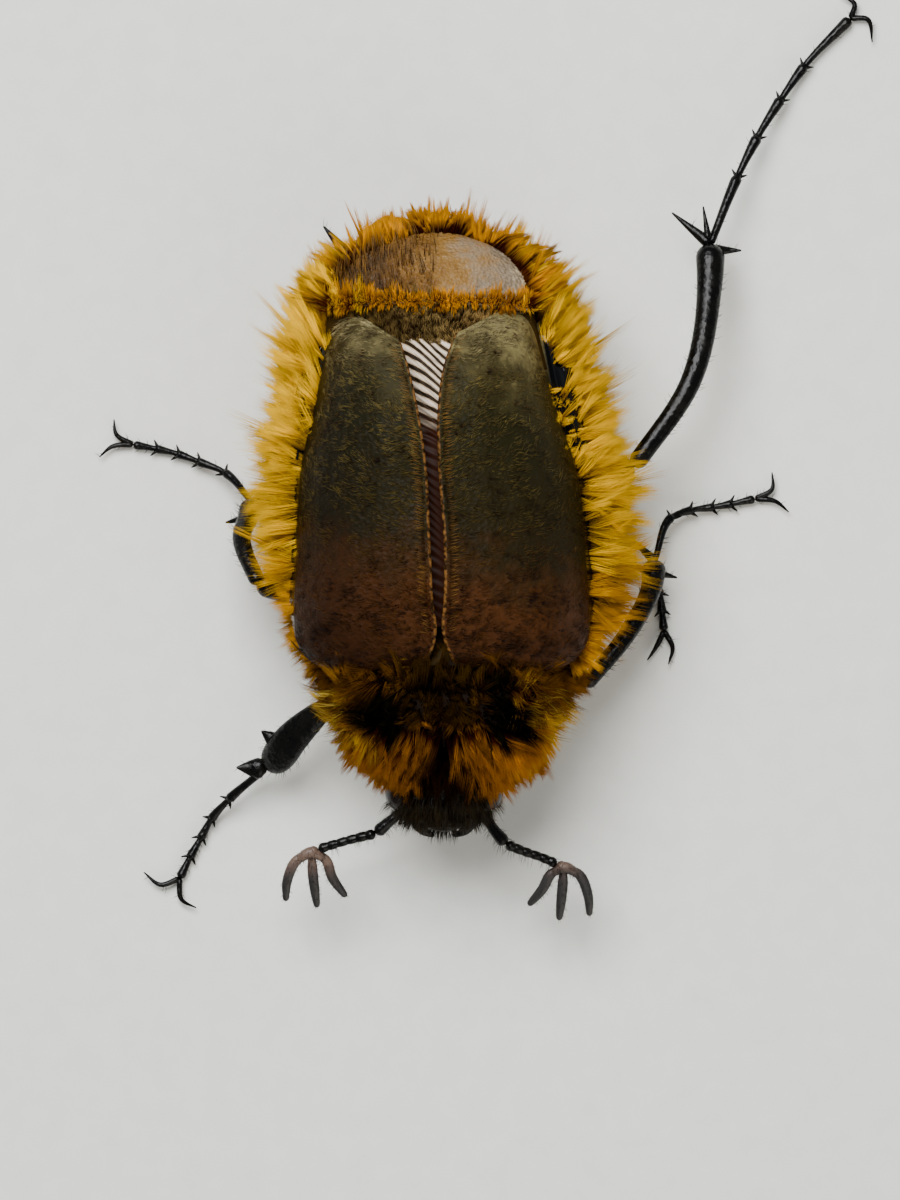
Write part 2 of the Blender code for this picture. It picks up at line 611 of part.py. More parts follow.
def build_club(name, shape):
    """The club of one feeler: three leaves that spread from one root."""
    root = point(shape["root"])
    first = root - Vector((0.12 * (1 if root.x > 0 else -1), -0.02, 0.0))
    hub = tube(name, [first, root], CLUB_HUB_RADII, 7)
    leaves = []
    for middle, tip in shape["leaves"]:
        path = [root, point(middle), point(middle).lerp(point(tip), 0.6)]
        leaves.append(tube("leaf", path, CLUB_LEAF_RADII, 6, end=point(tip)))
    combine(hub, leaves, "UNION")
    return hub


def limb(name, path, radii):
    """One stretch of a leg, with a rounded end on both sides."""
    start, end = limb_ends(path, radii)
    return tube(name, path, radii, 7, 1.0, start, end)


def limb_ends(path, radii):
    """The two outermost points of a stretch of a leg."""
    start = path[0] + (path[0] - path[1]).normalized() * (END_ROUNDING * radii[0])
    end = path[-1] + (path[-1] - path[-2]).normalized() * (END_ROUNDING * radii[-1])
    return start, end


def limb_room(path, radii):
    """The room that is cut for one stretch of a leg: it reaches one gap further on every side."""
    sides = 8
    first = path[0] + (path[0] - path[1]).normalized() * (GAP + END_ROUNDING * radii[0])
    last = path[-1] + (path[-1] - path[-2]).normalized() * (GAP + END_ROUNDING * radii[-1])
    wide = [(radius + GAP) / math.cos(math.pi / sides) for radius in (radii[0], *radii, radii[-1])]
    return tube("room", [first, *path, last], wide, sides)


def next_stretch(ahead, radii, values):
    """The path of the stretch that follows another one, from the end of that one."""
    return [limb_ends(ahead, radii)[1], *(point(p) for p in values)]


def femur_radii(leg):
    """Radii along the thigh of one leg."""
    pair = leg.split("_")[0]
    return [FEMUR_RADIUS * FEMUR_SHARES[pair] * share for share in FEMUR_SHAPE]


def tibia_radii(leg):
    """Radii along the shin of one leg, which widens toward its end."""
    pair = leg.split("_")[0]
    return [TIBIA_RADIUS * TIBIA_SHARES[pair] * share for share in TIBIA_SHAPE]


def leg_paths(leg, shape):
    """The middle lines of the thigh, shin and foot of one leg."""
    femur = [point(values) for values in shape["femur"]]
    tibia = next_stretch(femur, femur_radii(leg), shape["tibia"])
    tarsus = next_stretch(tibia, tibia_radii(leg), shape["tarsus"])
    return femur, tibia, tarsus


def build_leg(leg, shape):
    """The three nodes of one leg: thigh with hip, shin with its spurs, and foot with claws."""
    femur_path, tibia_path, foot_path = leg_paths(leg, shape)
    femur = limb(leg + "_femur", femur_path, femur_radii(leg))
    tibia = limb(leg + "_tibia", tibia_path, tibia_radii(leg))
    combine(tibia, [limb_room(femur_path, femur_radii(leg))], "DIFFERENCE")
    spurs = []
    for values in shape["spurs"]:
        tip = point(values)
        middle = tibia_path[-1].lerp(tibia_path[-2], SPUR_ROOT_SHARE)
        shin = (tibia_path[-1] - tibia_path[-2]).normalized()
        outward = (tip - middle) - shin * (tip - middle).dot(shin)
        root = middle + outward.normalized() * SPUR_ROOT_OFFSET
        path = [root, root.lerp(tip, 0.55)]
        spurs.append(tube("spur", path, (SPUR_RADIUS, 0.8 * SPUR_RADIUS), 5, end=tip))
    combine(tibia, spurs, "UNION")
    rings = []
    radii = []
    for start, end in zip(foot_path, foot_path[1:]):
        rings += [start.lerp(end, 0.04), start.lerp(end, 0.8)]
        radii += [TARSUS_RADIUS * share for share in TARSUS_SHARES]
    tarsus = tube(leg + "_tarsus", rings, radii, 6, end=foot_path[-1])
    claws = []
    for middle, tip in shape["claws"]:
        path = [rings[-1], foot_path[-1].lerp(point(middle), 0.5), point(middle)]
        claws.append(tube("claw", path, (CLAW_RADIUS, CLAW_RADIUS, CLAW_RADIUS * 0.8), 6, end=point(tip)))
    combine(tarsus, claws, "UNION")
    combine(tarsus, [limb_room(tibia_path, tibia_radii(leg))], "DIFFERENCE")
    for vert in tarsus.data.vertices:
        vert.co.z = max(vert.co.z, SOLE_LEVEL * MM)
    return [femur, tibia, tarsus]


def leg_room(leg, shape):
    """The room that is cut in the trunk and its coat for the thigh and shin of one leg."""
    femur, tibia, tarsus = leg_paths(leg, shape)
    return [limb_room(femur, femur_radii(leg)), limb_room(tibia, tibia_radii(leg))]


def paint(target, colour, roughness):
    """Give an object a material of its own."""
    material = bpy.data.materials.new("finish_" + target.name)
    material.use_nodes = True
    shader = material.node_tree.nodes["Principled BSDF"]
    shader.inputs["Base Color"].default_value = colour
    shader.inputs["Roughness"].default_value = roughness
    target.data.materials.append(material)


def centre_on_floor(parts):
    """Move every part so that the box around them all stands centred on the origin."""
    corners = [vert.co for part in parts for vert in part.data.vertices]
    low = Vector([min(p[axis] for p in corners) for axis in range(3)])
    high = Vector([max(p[axis] for p in corners) for axis in range(3)])
    shift = Vector(((low.x + high.x) / 2.0, (low.y + high.y) / 2.0, low.z))
    for part in parts:
        for vert in part.data.vertices:
            vert.co -= shift


def main():
    random.seed(SEED)
    for old in list(bpy.data.objects):
        bpy.data.objects.remove(old, do_unlink=True)
    trunk = [build_prothorax(), build_thorax(), build_abdomen()]
    head = build_head("head")
    combine(head, [eye_ball("room", side, GAP) for side in (-1, 1)], "DIFFERENCE")
    grids = {
        "elytron_left": (elytron_grid(1), ELYTRON_THICKNESS),
        "elytron_right": (elytron_grid(-1), ELYTRON_THICKNESS),
        "pygidium": (pygidium_grid(), PYGIDIUM_THICKNESS),
        "scutellum": (scutellum_grid(), SCUTELLUM_THICKNESS),
        "wing_fold": (wing_fold_grid(), WING_FOLD_THICKNESS),
    }
    for part in trunk:
        tools = [shell("room", grid, thickness, GAP) for grid, thickness in grids.values()]
        tools += [build_head("room", GAP), eye_ball("room", -1, GAP), eye_ball("room", 1, GAP)]
        for leg, shape in LEGS.items():
            tools += leg_room(leg, shape)
        combine(part, tools, "DIFFERENCE")
    plates = [shell(name, grid, thickness) for name, (grid, thickness) in grids.items()]
    dark = [head]
    for name, side in (("left", 1), ("right", -1)):
        dark.append(eye_ball("eye_" + name, side, 0.0))
        dark.append(build_mandible("mandible_" + name, side))
        dark.append(build_feeler("antenna_stem_" + name, FEELERS[name]["stem"]))
        dark.append(build_club("antenna_club_" + name, FEELERS[name]))
    for leg, shape in LEGS.items():
        dark += build_leg(leg, shape)
    for part in dark:
        paint(part, BLACK, 0.3)
    for part in plates:
        paint(part, PALE if part.name == "wing_fold" else BROWN, 0.4)
    for part in trunk:
        paint(part, AMBER, 0.8)
    centre_on_floor(dark + plates + trunk)


main()
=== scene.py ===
# %% [markdown]
# # A bumblebee scarab beetle, as a life-size model
# The real animal is a small day-flying beetle with a bee's coat. Its trunk is hidden in golden hair, its
# wing cases gape behind over the folded wings, and its six black legs are long and bristly.
# The solids of its parts come first, as a fixed frame. Each visible piece is then modelled round them.
# Sizes are read in millimetres in the beetle's own axes: +X is its left side, the head points to -Y and
# the back to +Z. One helper turns them into metres in the frame.

# %% The frame
import math

import bpy
import numpy as np
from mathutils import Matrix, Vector


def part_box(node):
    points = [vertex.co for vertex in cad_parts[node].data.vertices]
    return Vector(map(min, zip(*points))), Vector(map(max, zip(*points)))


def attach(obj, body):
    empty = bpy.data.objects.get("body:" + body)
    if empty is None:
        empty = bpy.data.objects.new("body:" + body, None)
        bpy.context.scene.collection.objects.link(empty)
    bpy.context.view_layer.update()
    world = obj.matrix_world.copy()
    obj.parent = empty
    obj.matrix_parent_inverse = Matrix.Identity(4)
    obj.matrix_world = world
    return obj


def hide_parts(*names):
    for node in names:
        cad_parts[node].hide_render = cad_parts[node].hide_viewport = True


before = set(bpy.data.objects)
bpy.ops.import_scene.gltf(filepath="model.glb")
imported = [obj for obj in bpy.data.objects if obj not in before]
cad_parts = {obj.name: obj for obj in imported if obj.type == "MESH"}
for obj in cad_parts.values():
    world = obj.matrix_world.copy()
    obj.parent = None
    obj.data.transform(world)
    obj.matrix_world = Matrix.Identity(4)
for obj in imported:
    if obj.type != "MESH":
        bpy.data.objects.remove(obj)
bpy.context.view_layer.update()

# %% [markdown]
# The beetle's middle line runs between its two wing cases. The front edge of the scutellum, the small
# triangle between their roots, fixes how far forward it stands, and its soles stand on the floor.

# %% The beetle's own axes
MM = 0.001
SCUTELLUM_FRONT = -3.4
SOLE_LEVEL = 0.05
middle = (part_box("elytron_left")[1].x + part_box("elytron_right")[0].x) / 2.0
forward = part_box("scutellum")[0].y - SCUTELLUM_FRONT * MM
ORIGIN = Vector((middle, forward, -SOLE_LEVEL * MM))
print("beetle's origin in the frame, in mm:", [round(value / MM, 3) for value in ORIGIN])


def to_frame(points):
    """Turns rows of millimetres in the beetle's axes into metres in the frame."""
    return np.asarray(points, float) * MM + np.array(ORIGIN)


def to_beetle(points):
    """Turns rows of metres in the frame into millimetres in the beetle's axes."""
    return (np.asarray(points, float) - np.array(ORIGIN)) / MM


def smooth(table, value):
    """Reads a table of (station, size) pairs along a smooth curve through them."""
    stations, sizes = (np.array(column, float) for column in zip(*table))
    slopes = np.gradient(sizes, stations)
    value = np.clip(value, stations[0], stations[-1])
    low = np.clip(np.searchsorted(stations, value) - 1, 0, len(stations) - 2)
    span = stations[low + 1] - stations[low]
    t = (value - stations[low]) / span
    start = sizes[low] * (1 + 2 * t) * (1 - t) ** 2 + slopes[low] * span * t * (1 - t) ** 2
    end = sizes[low + 1] * t * t * (3 - 2 * t) + slopes[low + 1] * span * t * t * (t - 1)
    return start + end


# %% [markdown]
# The photograph looks straight down on the beetle, with its head towards the bottom edge. The camera
# stands high above it, as with a long macro lens, so that the sides keep their true outline.

# %% The camera
PIXEL = 0.02341
PHOTO_WIDTH = 900
PHOTO_HEIGHT = 1200
MIDLINE_COLUMN = 444
ZERO_ROW = 520
CAMERA_HEIGHT = 300.0
FOCUS_LEVEL = 3.0
SENSOR = 36.0

centre = [(PHOTO_WIDTH / 2 - MIDLINE_COLUMN) * PIXEL, (ZERO_ROW - PHOTO_HEIGHT / 2) * PIXEL, CAMERA_HEIGHT]
bpy.ops.object.select_all(action="DESELECT")
bpy.ops.object.camera_add(location=to_frame([centre])[0], rotation=(0.0, 0.0, 0.0))
camera = bpy.context.object
camera.name = "camera"
camera.data.sensor_width = SENSOR
camera.data.lens = SENSOR * (CAMERA_HEIGHT - FOCUS_LEVEL) / (PHOTO_HEIGHT * PIXEL)
camera.data.clip_start = 0.005
camera.data.clip_end = 5.0
bpy.context.scene.camera = camera
print("lens, in mm:", round(camera.data.lens, 1))

# %% [markdown]
# A softbox above and behind the beetle gives the pale gleam on the tips of the wing cases, which is also
# painted into their colour as a painted sheen. A weaker one in front and a bright, even surrounding keep
# the black legs readable on a plain pale floor.

# %% A small helper for materials
LINEAR_LIMIT = 0.04045


def colour(code):
    """The linear colour of an sRGB hex value."""
    shares = [int(code[i:i + 2], 16) / 255.0 for i in (1, 3, 5)]
    return [s / 12.92 if s <= LINEAR_LIMIT else ((s + 0.055) / 1.055) ** 2.4 for s in shares] + [1.0]


def add_node(tree, kind, inputs=None, stops=None, **settings):
    """Adds one node, with its settings, the stops of its ramp, and its inputs set or linked."""
    made = tree.nodes.new(kind)
    for name, value in settings.items():
        setattr(made, name, value)
    if stops:
        ramp = made.color_ramp.elements
        ramp.remove(ramp[1])
        ramp[0].position = stops[0][0]
        ramp[0].color = colour(stops[0][1])
        for place, code in stops[1:]:
            ramp.new(place).color = colour(code)
    for name, value in (inputs or {}).items():
        if isinstance(value, bpy.types.NodeSocket):
            tree.links.new(value, made.inputs[name])
        else:
            made.inputs[name].default_value = value
    return made


def new_material(name):
    """An empty material with a shader, and the tree and shader to build on."""
    material = bpy.data.materials.new(name)
    material.use_nodes = True
    return material, material.node_tree, material.node_tree.nodes["Principled BSDF"]


# %% Floor, lights and surroundings
FLOOR_SIZE = 0.6


def lamp(name, place, size, power, tint):
    """A square softbox that faces the beetle."""
    bpy.ops.object.light_add(type="AREA", location=to_frame([place])[0])
    light = bpy.context.object
    light.name = name
    light.data.size = size * MM
    light.data.energy = power
    light.data.color = colour(tint)[:3]
    aim = Vector(to_frame([(0.0, 0.0, 2.0)])[0]) - light.location
    light.rotation_euler = aim.to_track_quat("-Z", "Y").to_euler()


bpy.ops.mesh.primitive_plane_add(size=FLOOR_SIZE, location=(0.0, 0.0, 0.0))
floor = bpy.context.object
floor.name = "floor"
material, tree, shader = new_material("pale_matt_paper")
grain = add_node(tree, "ShaderNodeTexNoise", {"Scale": 900.0, "Detail": 3.0})
tone = add_node(tree, "ShaderNodeValToRGB", {"Fac": grain.outputs["Fac"]},
                stops=[(0.3, "#E2E3DE"), (0.7, "#E8E9E4")])
tree.links.new(tone.outputs["Color"], shader.inputs["Base Color"])
shader.inputs["Roughness"].default_value = 0.9
floor.data.materials.append(material)

lamp("key_softbox", (-30.0, 70.0, 130.0), 90.0, 0.42, "#FFFFFF")
lamp("front_softbox", (60.0, -110.0, 90.0), 120.0, 0.12, "#FFF6E6")
world = bpy.data.worlds.new("pale_surroundings")
world.use_nodes = True
world.node_tree.nodes["Background"].inputs["Color"].default_value = colour("#E9EEF2")
world.node_tree.nodes["Background"].inputs["Strength"].default_value = 0.34
bpy.context.scene.world = world

# %% [markdown]
# Every piece starts from one of two primitives. A plate such as a wing case is a grid, and a closed form
# such as a leg is a sphere. Each vertex is then moved to its own place by a rule that says where on the
# real surface it lies. The primitive's UV map stays, so a pattern can follow the surface.

# %% Helpers that shape a primitive
PIECES = []


def lay(piece, points):
    """Moves every vertex of a piece to its own point, in the beetle's millimetres."""
    piece.data.vertices.foreach_set("co", to_frame(points).astype(np.float32).ravel())
    piece.data.update()


def vertex_rows(piece):
    """The vertices of a piece as rows of numbers."""
    rows = np.empty(len(piece.data.vertices) * 3, np.float32)
    piece.data.vertices.foreach_get("co", rows)
    return rows.reshape(-1, 3).astype(float)


def plate(columns, rows, place):
    """A grid whose vertices are laid by place(across, along), with both shares from 0 to 1."""
    bpy.ops.object.select_all(action="DESELECT")
    bpy.ops.mesh.primitive_grid_add(x_subdivisions=columns, y_subdivisions=rows, size=2.0)
    piece = bpy.context.object
    flat = vertex_rows(piece)
    lay(piece, place((flat[:, 0] + 1.0) / 2.0, (flat[:, 1] + 1.0) / 2.0))
    return piece


def ball(segments, rings, place):
    """A sphere whose vertices are laid by place(turn, share): an angle, and 0 to 1 from pole to pole."""
    bpy.ops.object.select_all(action="DESELECT")
    bpy.ops.mesh.primitive_uv_sphere_add(segments=segments, ring_count=rings, radius=1.0)
    piece = bpy.context.object
    round_form = vertex_rows(piece)
    share = np.arccos(np.clip(round_form[:, 2], -1.0, 1.0)) / math.pi
    lay(piece, place(np.arctan2(round_form[:, 1], round_form[:, 0]), share))
    return piece


def modify(piece, kind, **settings):
    """Adds one modifier, sets it and applies it."""
    bpy.context.view_layer.objects.active = piece
    modifier = piece.modifiers.new(kind.title(), kind)
    for name, value in settings.items():
        setattr(modifier, name, value)
    bpy.ops.object.modifier_apply(modifier=modifier.name)


def face_out(piece):
    """Turns the faces of a closed piece outwards."""
    bpy.ops.object.select_all(action="DESELECT")
    bpy.context.view_layer.objects.active = piece
    piece.select_set(True)
    bpy.ops.object.mode_set(mode="EDIT")
    bpy.ops.mesh.select_all(action="SELECT")
    bpy.ops.mesh.normals_make_consistent(inside=False)
    bpy.ops.object.mode_set(mode="OBJECT")


def thicken(piece, wall, up):
    """Gives a plate its wall, below the face that looks towards up."""
    normals = np.array([polygon.normal for polygon in piece.data.polygons])
    if (normals @ np.array(up)).sum() < 0.0:
        piece.data.flip_normals()
    modify(piece, "SOLIDIFY", thickness=wall * MM, offset=-1.0)


def join(pieces):
    """Makes one object of several."""
    bpy.ops.object.select_all(action="DESELECT")
    for piece in pieces:
        piece.select_set(True)
    bpy.context.view_layer.objects.active = pieces[0]
    bpy.ops.object.join()
    return pieces[0]


def finish_piece(piece, name, material, slot, *nodes):
    """Names a piece, gives it its material, and says what it rides on and stands for."""
    piece.name = name
    piece.data.name = name
    if material:
        piece.data.materials.clear()
        piece.data.materials.append(material)
    piece.data.shade_smooth()
    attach(piece, "root")
    if nodes:
        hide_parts(*nodes)
    PIECES.append(piece)
    low, high = vertex_rows(piece).min(axis=0), vertex_rows(piece).max(axis=0)
    print(name, len(piece.data.polygons), "faces,", np.round((high - low) / MM, 2), "mm")
    return piece


# %% [markdown]
# The hair is solid: thin, bent, three-sided spikes that taper to a point. Each spike leaves the skin
# along its normal and bends over towards its tip, and neighbours lean together in small tufts, as real
# hair does. Thousands of them are made at once as rows of numbers, which a person would do with an array.
# Each spike keeps its root's place on the skin's UV map, as a patch 0.003 across, and stores how far
# along it a point lies and a shade of its own, which the hair's material reads.

# %% Helpers that grow hair
PATCH = 0.003
SPIKE_SIDES = 3


def roots_on(piece, count, chance, random):
    """Picks roots over a finished piece: points, normals and places on its UV map."""
    mesh = piece.data
    mesh.calc_loop_triangles()
    size = len(mesh.loop_triangles)
    corners = np.empty(size * 3, np.int32)
    loops = np.empty(size * 3, np.int32)
    mesh.loop_triangles.foreach_get("vertices", corners)
    mesh.loop_triangles.foreach_get("loops", loops)
    points = to_beetle(vertex_rows(piece))[corners.reshape(-1, 3)]
    flat = np.empty(len(mesh.loops) * 2, np.float32)
    mesh.uv_layers[0].data.foreach_get("uv", flat)
    places = flat.reshape(-1, 2)[loops.reshape(-1, 3)]
    cross = np.cross(points[:, 1] - points[:, 0], points[:, 2] - points[:, 0])
    area = np.linalg.norm(cross, axis=1)
    normals = cross / np.maximum(area, 1e-12)[:, None]
    weight = area * chance(points.mean(axis=1), normals)
    picked = random.choice(size, count, p=weight / weight.sum())
    a = np.sqrt(random.random(count))
    b = random.random(count)
    shares = np.stack([1.0 - a, a * (1.0 - b), a * b], axis=1)[:, :, None]
    return (points[picked] * shares).sum(axis=1), normals[picked], (places[picked] * shares).sum(axis=1)


def unit(rows):
    """Rows scaled to length 1."""
    return rows / np.maximum(np.linalg.norm(rows, axis=1), 1e-9)[:, None]


LOCK = 12


def nearest_of(roots, heads):
    """Which of the heads stands nearest to each root."""
    nearest = np.empty(len(roots), np.int64)
    for start in range(0, len(roots), 2000):
        part = roots[start:start + 2000, None, :] - roots[heads][None, :, :]
        nearest[start:start + 2000] = (part ** 2).sum(axis=2).argmin(axis=1)
    return nearest


def gather(roots, tips, hold, tuft, drift, random):
    """Draws hairs together in pointed tufts, which lean together in wider locks."""
    heads = random.choice(len(roots), max(1, len(roots) // tuft), replace=False)
    leaders = random.choice(len(roots), max(1, len(roots) // (tuft * LOCK)), replace=False)
    fine, wide = nearest_of(roots, heads), nearest_of(roots, leaders)
    keeper = heads[fine]
    reach = np.linalg.norm(tips - roots, axis=1)[:, None]
    sway = random.normal(0.0, drift, (len(heads), 3))[fine]
    sway += random.normal(0.0, drift * 0.6, (len(leaders), 3))[wide]
    stretch = random.uniform(1.0 - drift, 1.0, (len(leaders), 1))[wide]
    stretch = stretch * random.uniform(1.0 - 2.2 * drift, 1.0, (len(heads), 1))[fine]
    drawn = tips[keeper] + (roots - roots[keeper]) * 0.15
    own = random.random(len(roots)) * 0.3
    own += random.random(len(heads))[fine] * 0.45 + random.random(len(leaders))[wide] * 0.25
    tips = tips + (drawn - tips) * hold + sway * reach
    return roots + (tips - roots) * stretch, own


def hair(name, grown, tips, width, material, slot, random, hold=0.45, tuft=14, drift=0.0, rise=0.35,
         levels=(0.0, 0.4, 0.75)):
    """A piece of solid hair from its roots, normals and UV places to its tips."""
    roots, normals, places = grown
    tips, own = gather(roots, tips, hold, tuft, drift, random)
    reach = np.linalg.norm(tips - roots, axis=1)[:, None]
    bend = roots + normals * reach * rise + (tips - roots) * 0.15
    grown_from = roots
    roots = roots - normals * 0.04
    heading = unit(tips - roots)
    side = unit(np.cross(heading, random.normal(size=heading.shape)))
    lift = np.cross(heading, side)
    rings, along, uv = [], [], []
    for t in levels:
        core = roots * (1 - t) ** 2 + bend * 2 * t * (1 - t) + tips * t * t
        girth = width * (1.0 - 0.75 * t ** 1.5)
        for k in range(SPIKE_SIDES):
            angle = 2.0 * math.pi * k / SPIKE_SIDES
            rings.append(core + (side * math.cos(angle) + lift * math.sin(angle)) * girth)
            along.append(t)
            uv.append(places + np.array([(k / SPIKE_SIDES - 0.33) * PATCH, (t - 0.5) * PATCH]))
    rings.append(tips)
    along.append(1.0)
    uv.append(places + np.array([0.0, 0.5 * PATCH]))
    size, stack = len(roots), len(rings)
    points = np.stack(rings, axis=1).reshape(-1, 3)
    spots = np.stack(uv, axis=1).reshape(-1, 2)
    faces = [(2, 1, 0)]
    for ring in range(len(levels) - 1):
        for k in range(SPIKE_SIDES):
            low, next_low = ring * SPIKE_SIDES + k, ring * SPIKE_SIDES + (k + 1) % SPIKE_SIDES
            faces += [(low, next_low, next_low + SPIKE_SIDES), (low, next_low + SPIKE_SIDES, low + SPIKE_SIDES)]
    last = (len(levels) - 1) * SPIKE_SIDES
    faces += [(last + k, last + (k + 1) % SPIKE_SIDES, stack - 1) for k in range(SPIKE_SIDES)]
    triangles = (np.array(faces)[None] + (np.arange(size) * stack)[:, None, None]).reshape(-1, 3)
    mesh = bpy.data.meshes.new(name)
    mesh.vertices.add(len(points))
    mesh.vertices.foreach_set("co", to_frame(points).astype(np.float32).ravel())
    mesh.loops.add(triangles.size)
    mesh.loops.foreach_set("vertex_index", triangles.astype(np.int32).ravel())
    mesh.polygons.add(len(triangles))
    mesh.polygons.foreach_set("loop_start", np.arange(0, triangles.size, 3, dtype=np.int32))
    mesh.update(calc_edges=True)
    layer = mesh.uv_layers.new(name="OFBake")
    layer.data.foreach_set("uv", spots[triangles.ravel()].astype(np.float32).ravel())
    for label, values in (("along", np.tile(along, size)), ("shade", np.repeat(own, stack))):
        attribute = mesh.attributes.new(label, "FLOAT", "POINT")
        attribute.data.foreach_set("value", values.astype(np.float32))
    attribute = mesh.attributes.new("root", "FLOAT_VECTOR", "POINT")
    attribute.data.foreach_set("vector", np.repeat(grown_from, stack, axis=0).astype(np.float32).ravel())
    piece = bpy.data.objects.new(name, mesh)
    bpy.context.scene.collection.objects.link(piece)
    return finish_piece(piece, name, material, slot)


# %% [markdown]
# Hair and skin carry the same markings, so one function paints both. It reads the place of a point in
# millimetres in the beetle's axes, starts from the golden yellow of the flanks, and lays one soft-edged
# patch of colour after another over it: orange at both ends, dark brown on the back of the pronotum.

# %% The coat's colours
GOLD = "#EEBA00"
RAGGED = 0.4
COAT_PATCHES = [
    ("#C48400", (0.0, 7.1), (3.3, 1.6)),
    ("#D08A06", (0.0, 5.2), (2.6, 0.5)),
    # The front of each flank is painted darker and oranger: partly the coat's own tone, partly painted shade.
    ("#CC9004", (3.4, -2.4), (1.4, 1.5)),
    ("#B06E06", (0.0, -5.7), (2.5, 1.7)),
    ("#7C500E", (2.0, -3.6), (1.3, 0.6)),
    ("#5C3A0C", (0.0, -4.1), (1.8, 0.8)),
    ("#241204", (0.0, -6.0), (0.62, 1.3)),
    ("#382608", (0.0, -3.9), (0.8, 0.7)),
    ("#100E04", (1.25, -4.4), (0.45, 0.5)),
]


def beetle_place(tree):
    """The place of a surface point, in millimetres in the beetle's axes."""
    place = add_node(tree, "ShaderNodeTexCoord").outputs["Object"]
    return add_node(tree, "ShaderNodeMapping", {
        "Vector": place, "Location": [-value / MM for value in ORIGIN], "Scale": [1.0 / MM] * 3})


def root_place(tree):
    """The place of a hair's root, in millimetres in the beetle's axes."""
    return add_node(tree, "ShaderNodeAttribute", attribute_name="root").outputs["Vector"]


def coat_colour(tree, place):
    """The coat's golden, orange and dark zones, as a colour output."""
    folded = add_node(tree, "ShaderNodeVectorMath", {0: place}, operation="ABSOLUTE").outputs["Vector"]
    across = add_node(tree, "ShaderNodeSeparateXYZ", {"Vector": folded}).outputs["X"]
    split = add_node(tree, "ShaderNodeSeparateXYZ", {"Vector": place})
    noise = add_node(tree, "ShaderNodeTexNoise", {"Vector": place, "Scale": 1.7, "Detail": 3.0}).outputs["Fac"]
    ragged = add_node(tree, "ShaderNodeMapRange", {
        "Value": noise, "From Min": 0.25, "From Max": 0.75, "To Min": -RAGGED, "To Max": RAGGED}).outputs["Result"]
    shown = add_node(tree, "ShaderNodeMix", data_type="RGBA", blend_type="MIX")
    shown.inputs[0].default_value = 0.0
    shown.inputs[6].default_value = colour(GOLD)
    result = shown.outputs[2]
    for code, centre, reach in COAT_PATCHES:
        x = add_node(tree, "ShaderNodeMath", {0: across, 1: centre[0]}, operation="SUBTRACT").outputs[0]
        y = add_node(tree, "ShaderNodeMath", {0: split.outputs["Y"], 1: centre[1]}, operation="SUBTRACT").outputs[0]
        x = add_node(tree, "ShaderNodeMath", {0: x, 1: reach[0]}, operation="DIVIDE").outputs[0]
        y = add_node(tree, "ShaderNodeMath", {0: y, 1: reach[1]}, operation="DIVIDE").outputs[0]
        both = add_node(tree, "ShaderNodeCombineXYZ", {"X": x, "Y": y}).outputs["Vector"]
        far = add_node(tree, "ShaderNodeVectorMath", {0: both}, operation="LENGTH").outputs["Value"]
        far = add_node(tree, "ShaderNodeMath", {0: far, 1: ragged}, operation="ADD").outputs[0]
        share = add_node(tree, "ShaderNodeMapRange", {
            "Value": far, "From Min": 0.8, "From Max": 1.2, "To Min": 1.0, "To Max": 0.0},
            interpolation_type="SMOOTHSTEP").outputs["Result"]
        mixed = add_node(tree, "ShaderNodeMix", data_type="RGBA")
        tree.links.new(share, mixed.inputs[0])
        tree.links.new(result, mixed.inputs[6])
        mixed.inputs[7].default_value = colour(code)
        result = mixed.outputs[2]
    return result


# %% [markdown]
# A beetle's hair is a hollow bristle of clear, tinted cuticle. It gleams softly along its side. Its colour is
# painted darker from the root up, partly a browner root tint and partly painted shade where the root sits in
# shadow. The colour is laid on from root to tip.

# %% Hair materials


def hair_material(name, tint, root_tint_and_shade="#4E3018", spread=0.3, roughness=0.5, gleam=0.1):
    """Tinted bristle cuticle, painted darker at its root by a root tint and painted shade, and a little different on
    every hair and tuft.
    """
    material, tree, shader = new_material(name)
    along = add_node(tree, "ShaderNodeAttribute", attribute_name="along").outputs["Fac"]
    own = add_node(tree, "ShaderNodeAttribute", attribute_name="shade").outputs["Fac"]
    # A tuft is about 0.4 mm wide, and the shadow at its foot reaches further up some tufts than others.
    tufts = add_node(tree, "ShaderNodeTexNoise", {"Vector": root_place(tree), "Scale": 2.4, "Detail": 1.0}).outputs["Fac"]
    shadow = add_node(tree, "ShaderNodeMath", {0: tufts, 1: 1.1, 2: along}, operation="MULTIPLY_ADD").outputs[0]
    depth = add_node(tree, "ShaderNodeMapRange", {
        "Value": shadow, "From Min": 0.85, "From Max": 1.45, "To Min": 1.0, "To Max": 0.0}).outputs["Result"]
    # Painted shade: the root's dark tint is multiplied in towards the root.
    rooted = add_node(tree, "ShaderNodeMix", data_type="RGBA", blend_type="MULTIPLY")
    tree.links.new(depth, rooted.inputs[0])
    if isinstance(tint, str):
        rooted.inputs[6].default_value = colour(tint)
    else:
        tree.links.new(tint(tree), rooted.inputs[6])
    rooted.inputs[7].default_value = colour(root_tint_and_shade)
    vary = add_node(tree, "ShaderNodeMapRange", {
        "Value": own, "To Min": 1.0 - 1.1 * spread, "To Max": 1.0 + 0.7 * spread}).outputs["Result"]
    shown = add_node(tree, "ShaderNodeHueSaturation", {"Color": rooted.outputs[2], "Value": vary})
    tree.links.new(shown.outputs["Color"], shader.inputs["Base Color"])
    shader.inputs["Roughness"].default_value = roughness
    shader.inputs["Specular IOR Level"].default_value = gleam
    return material


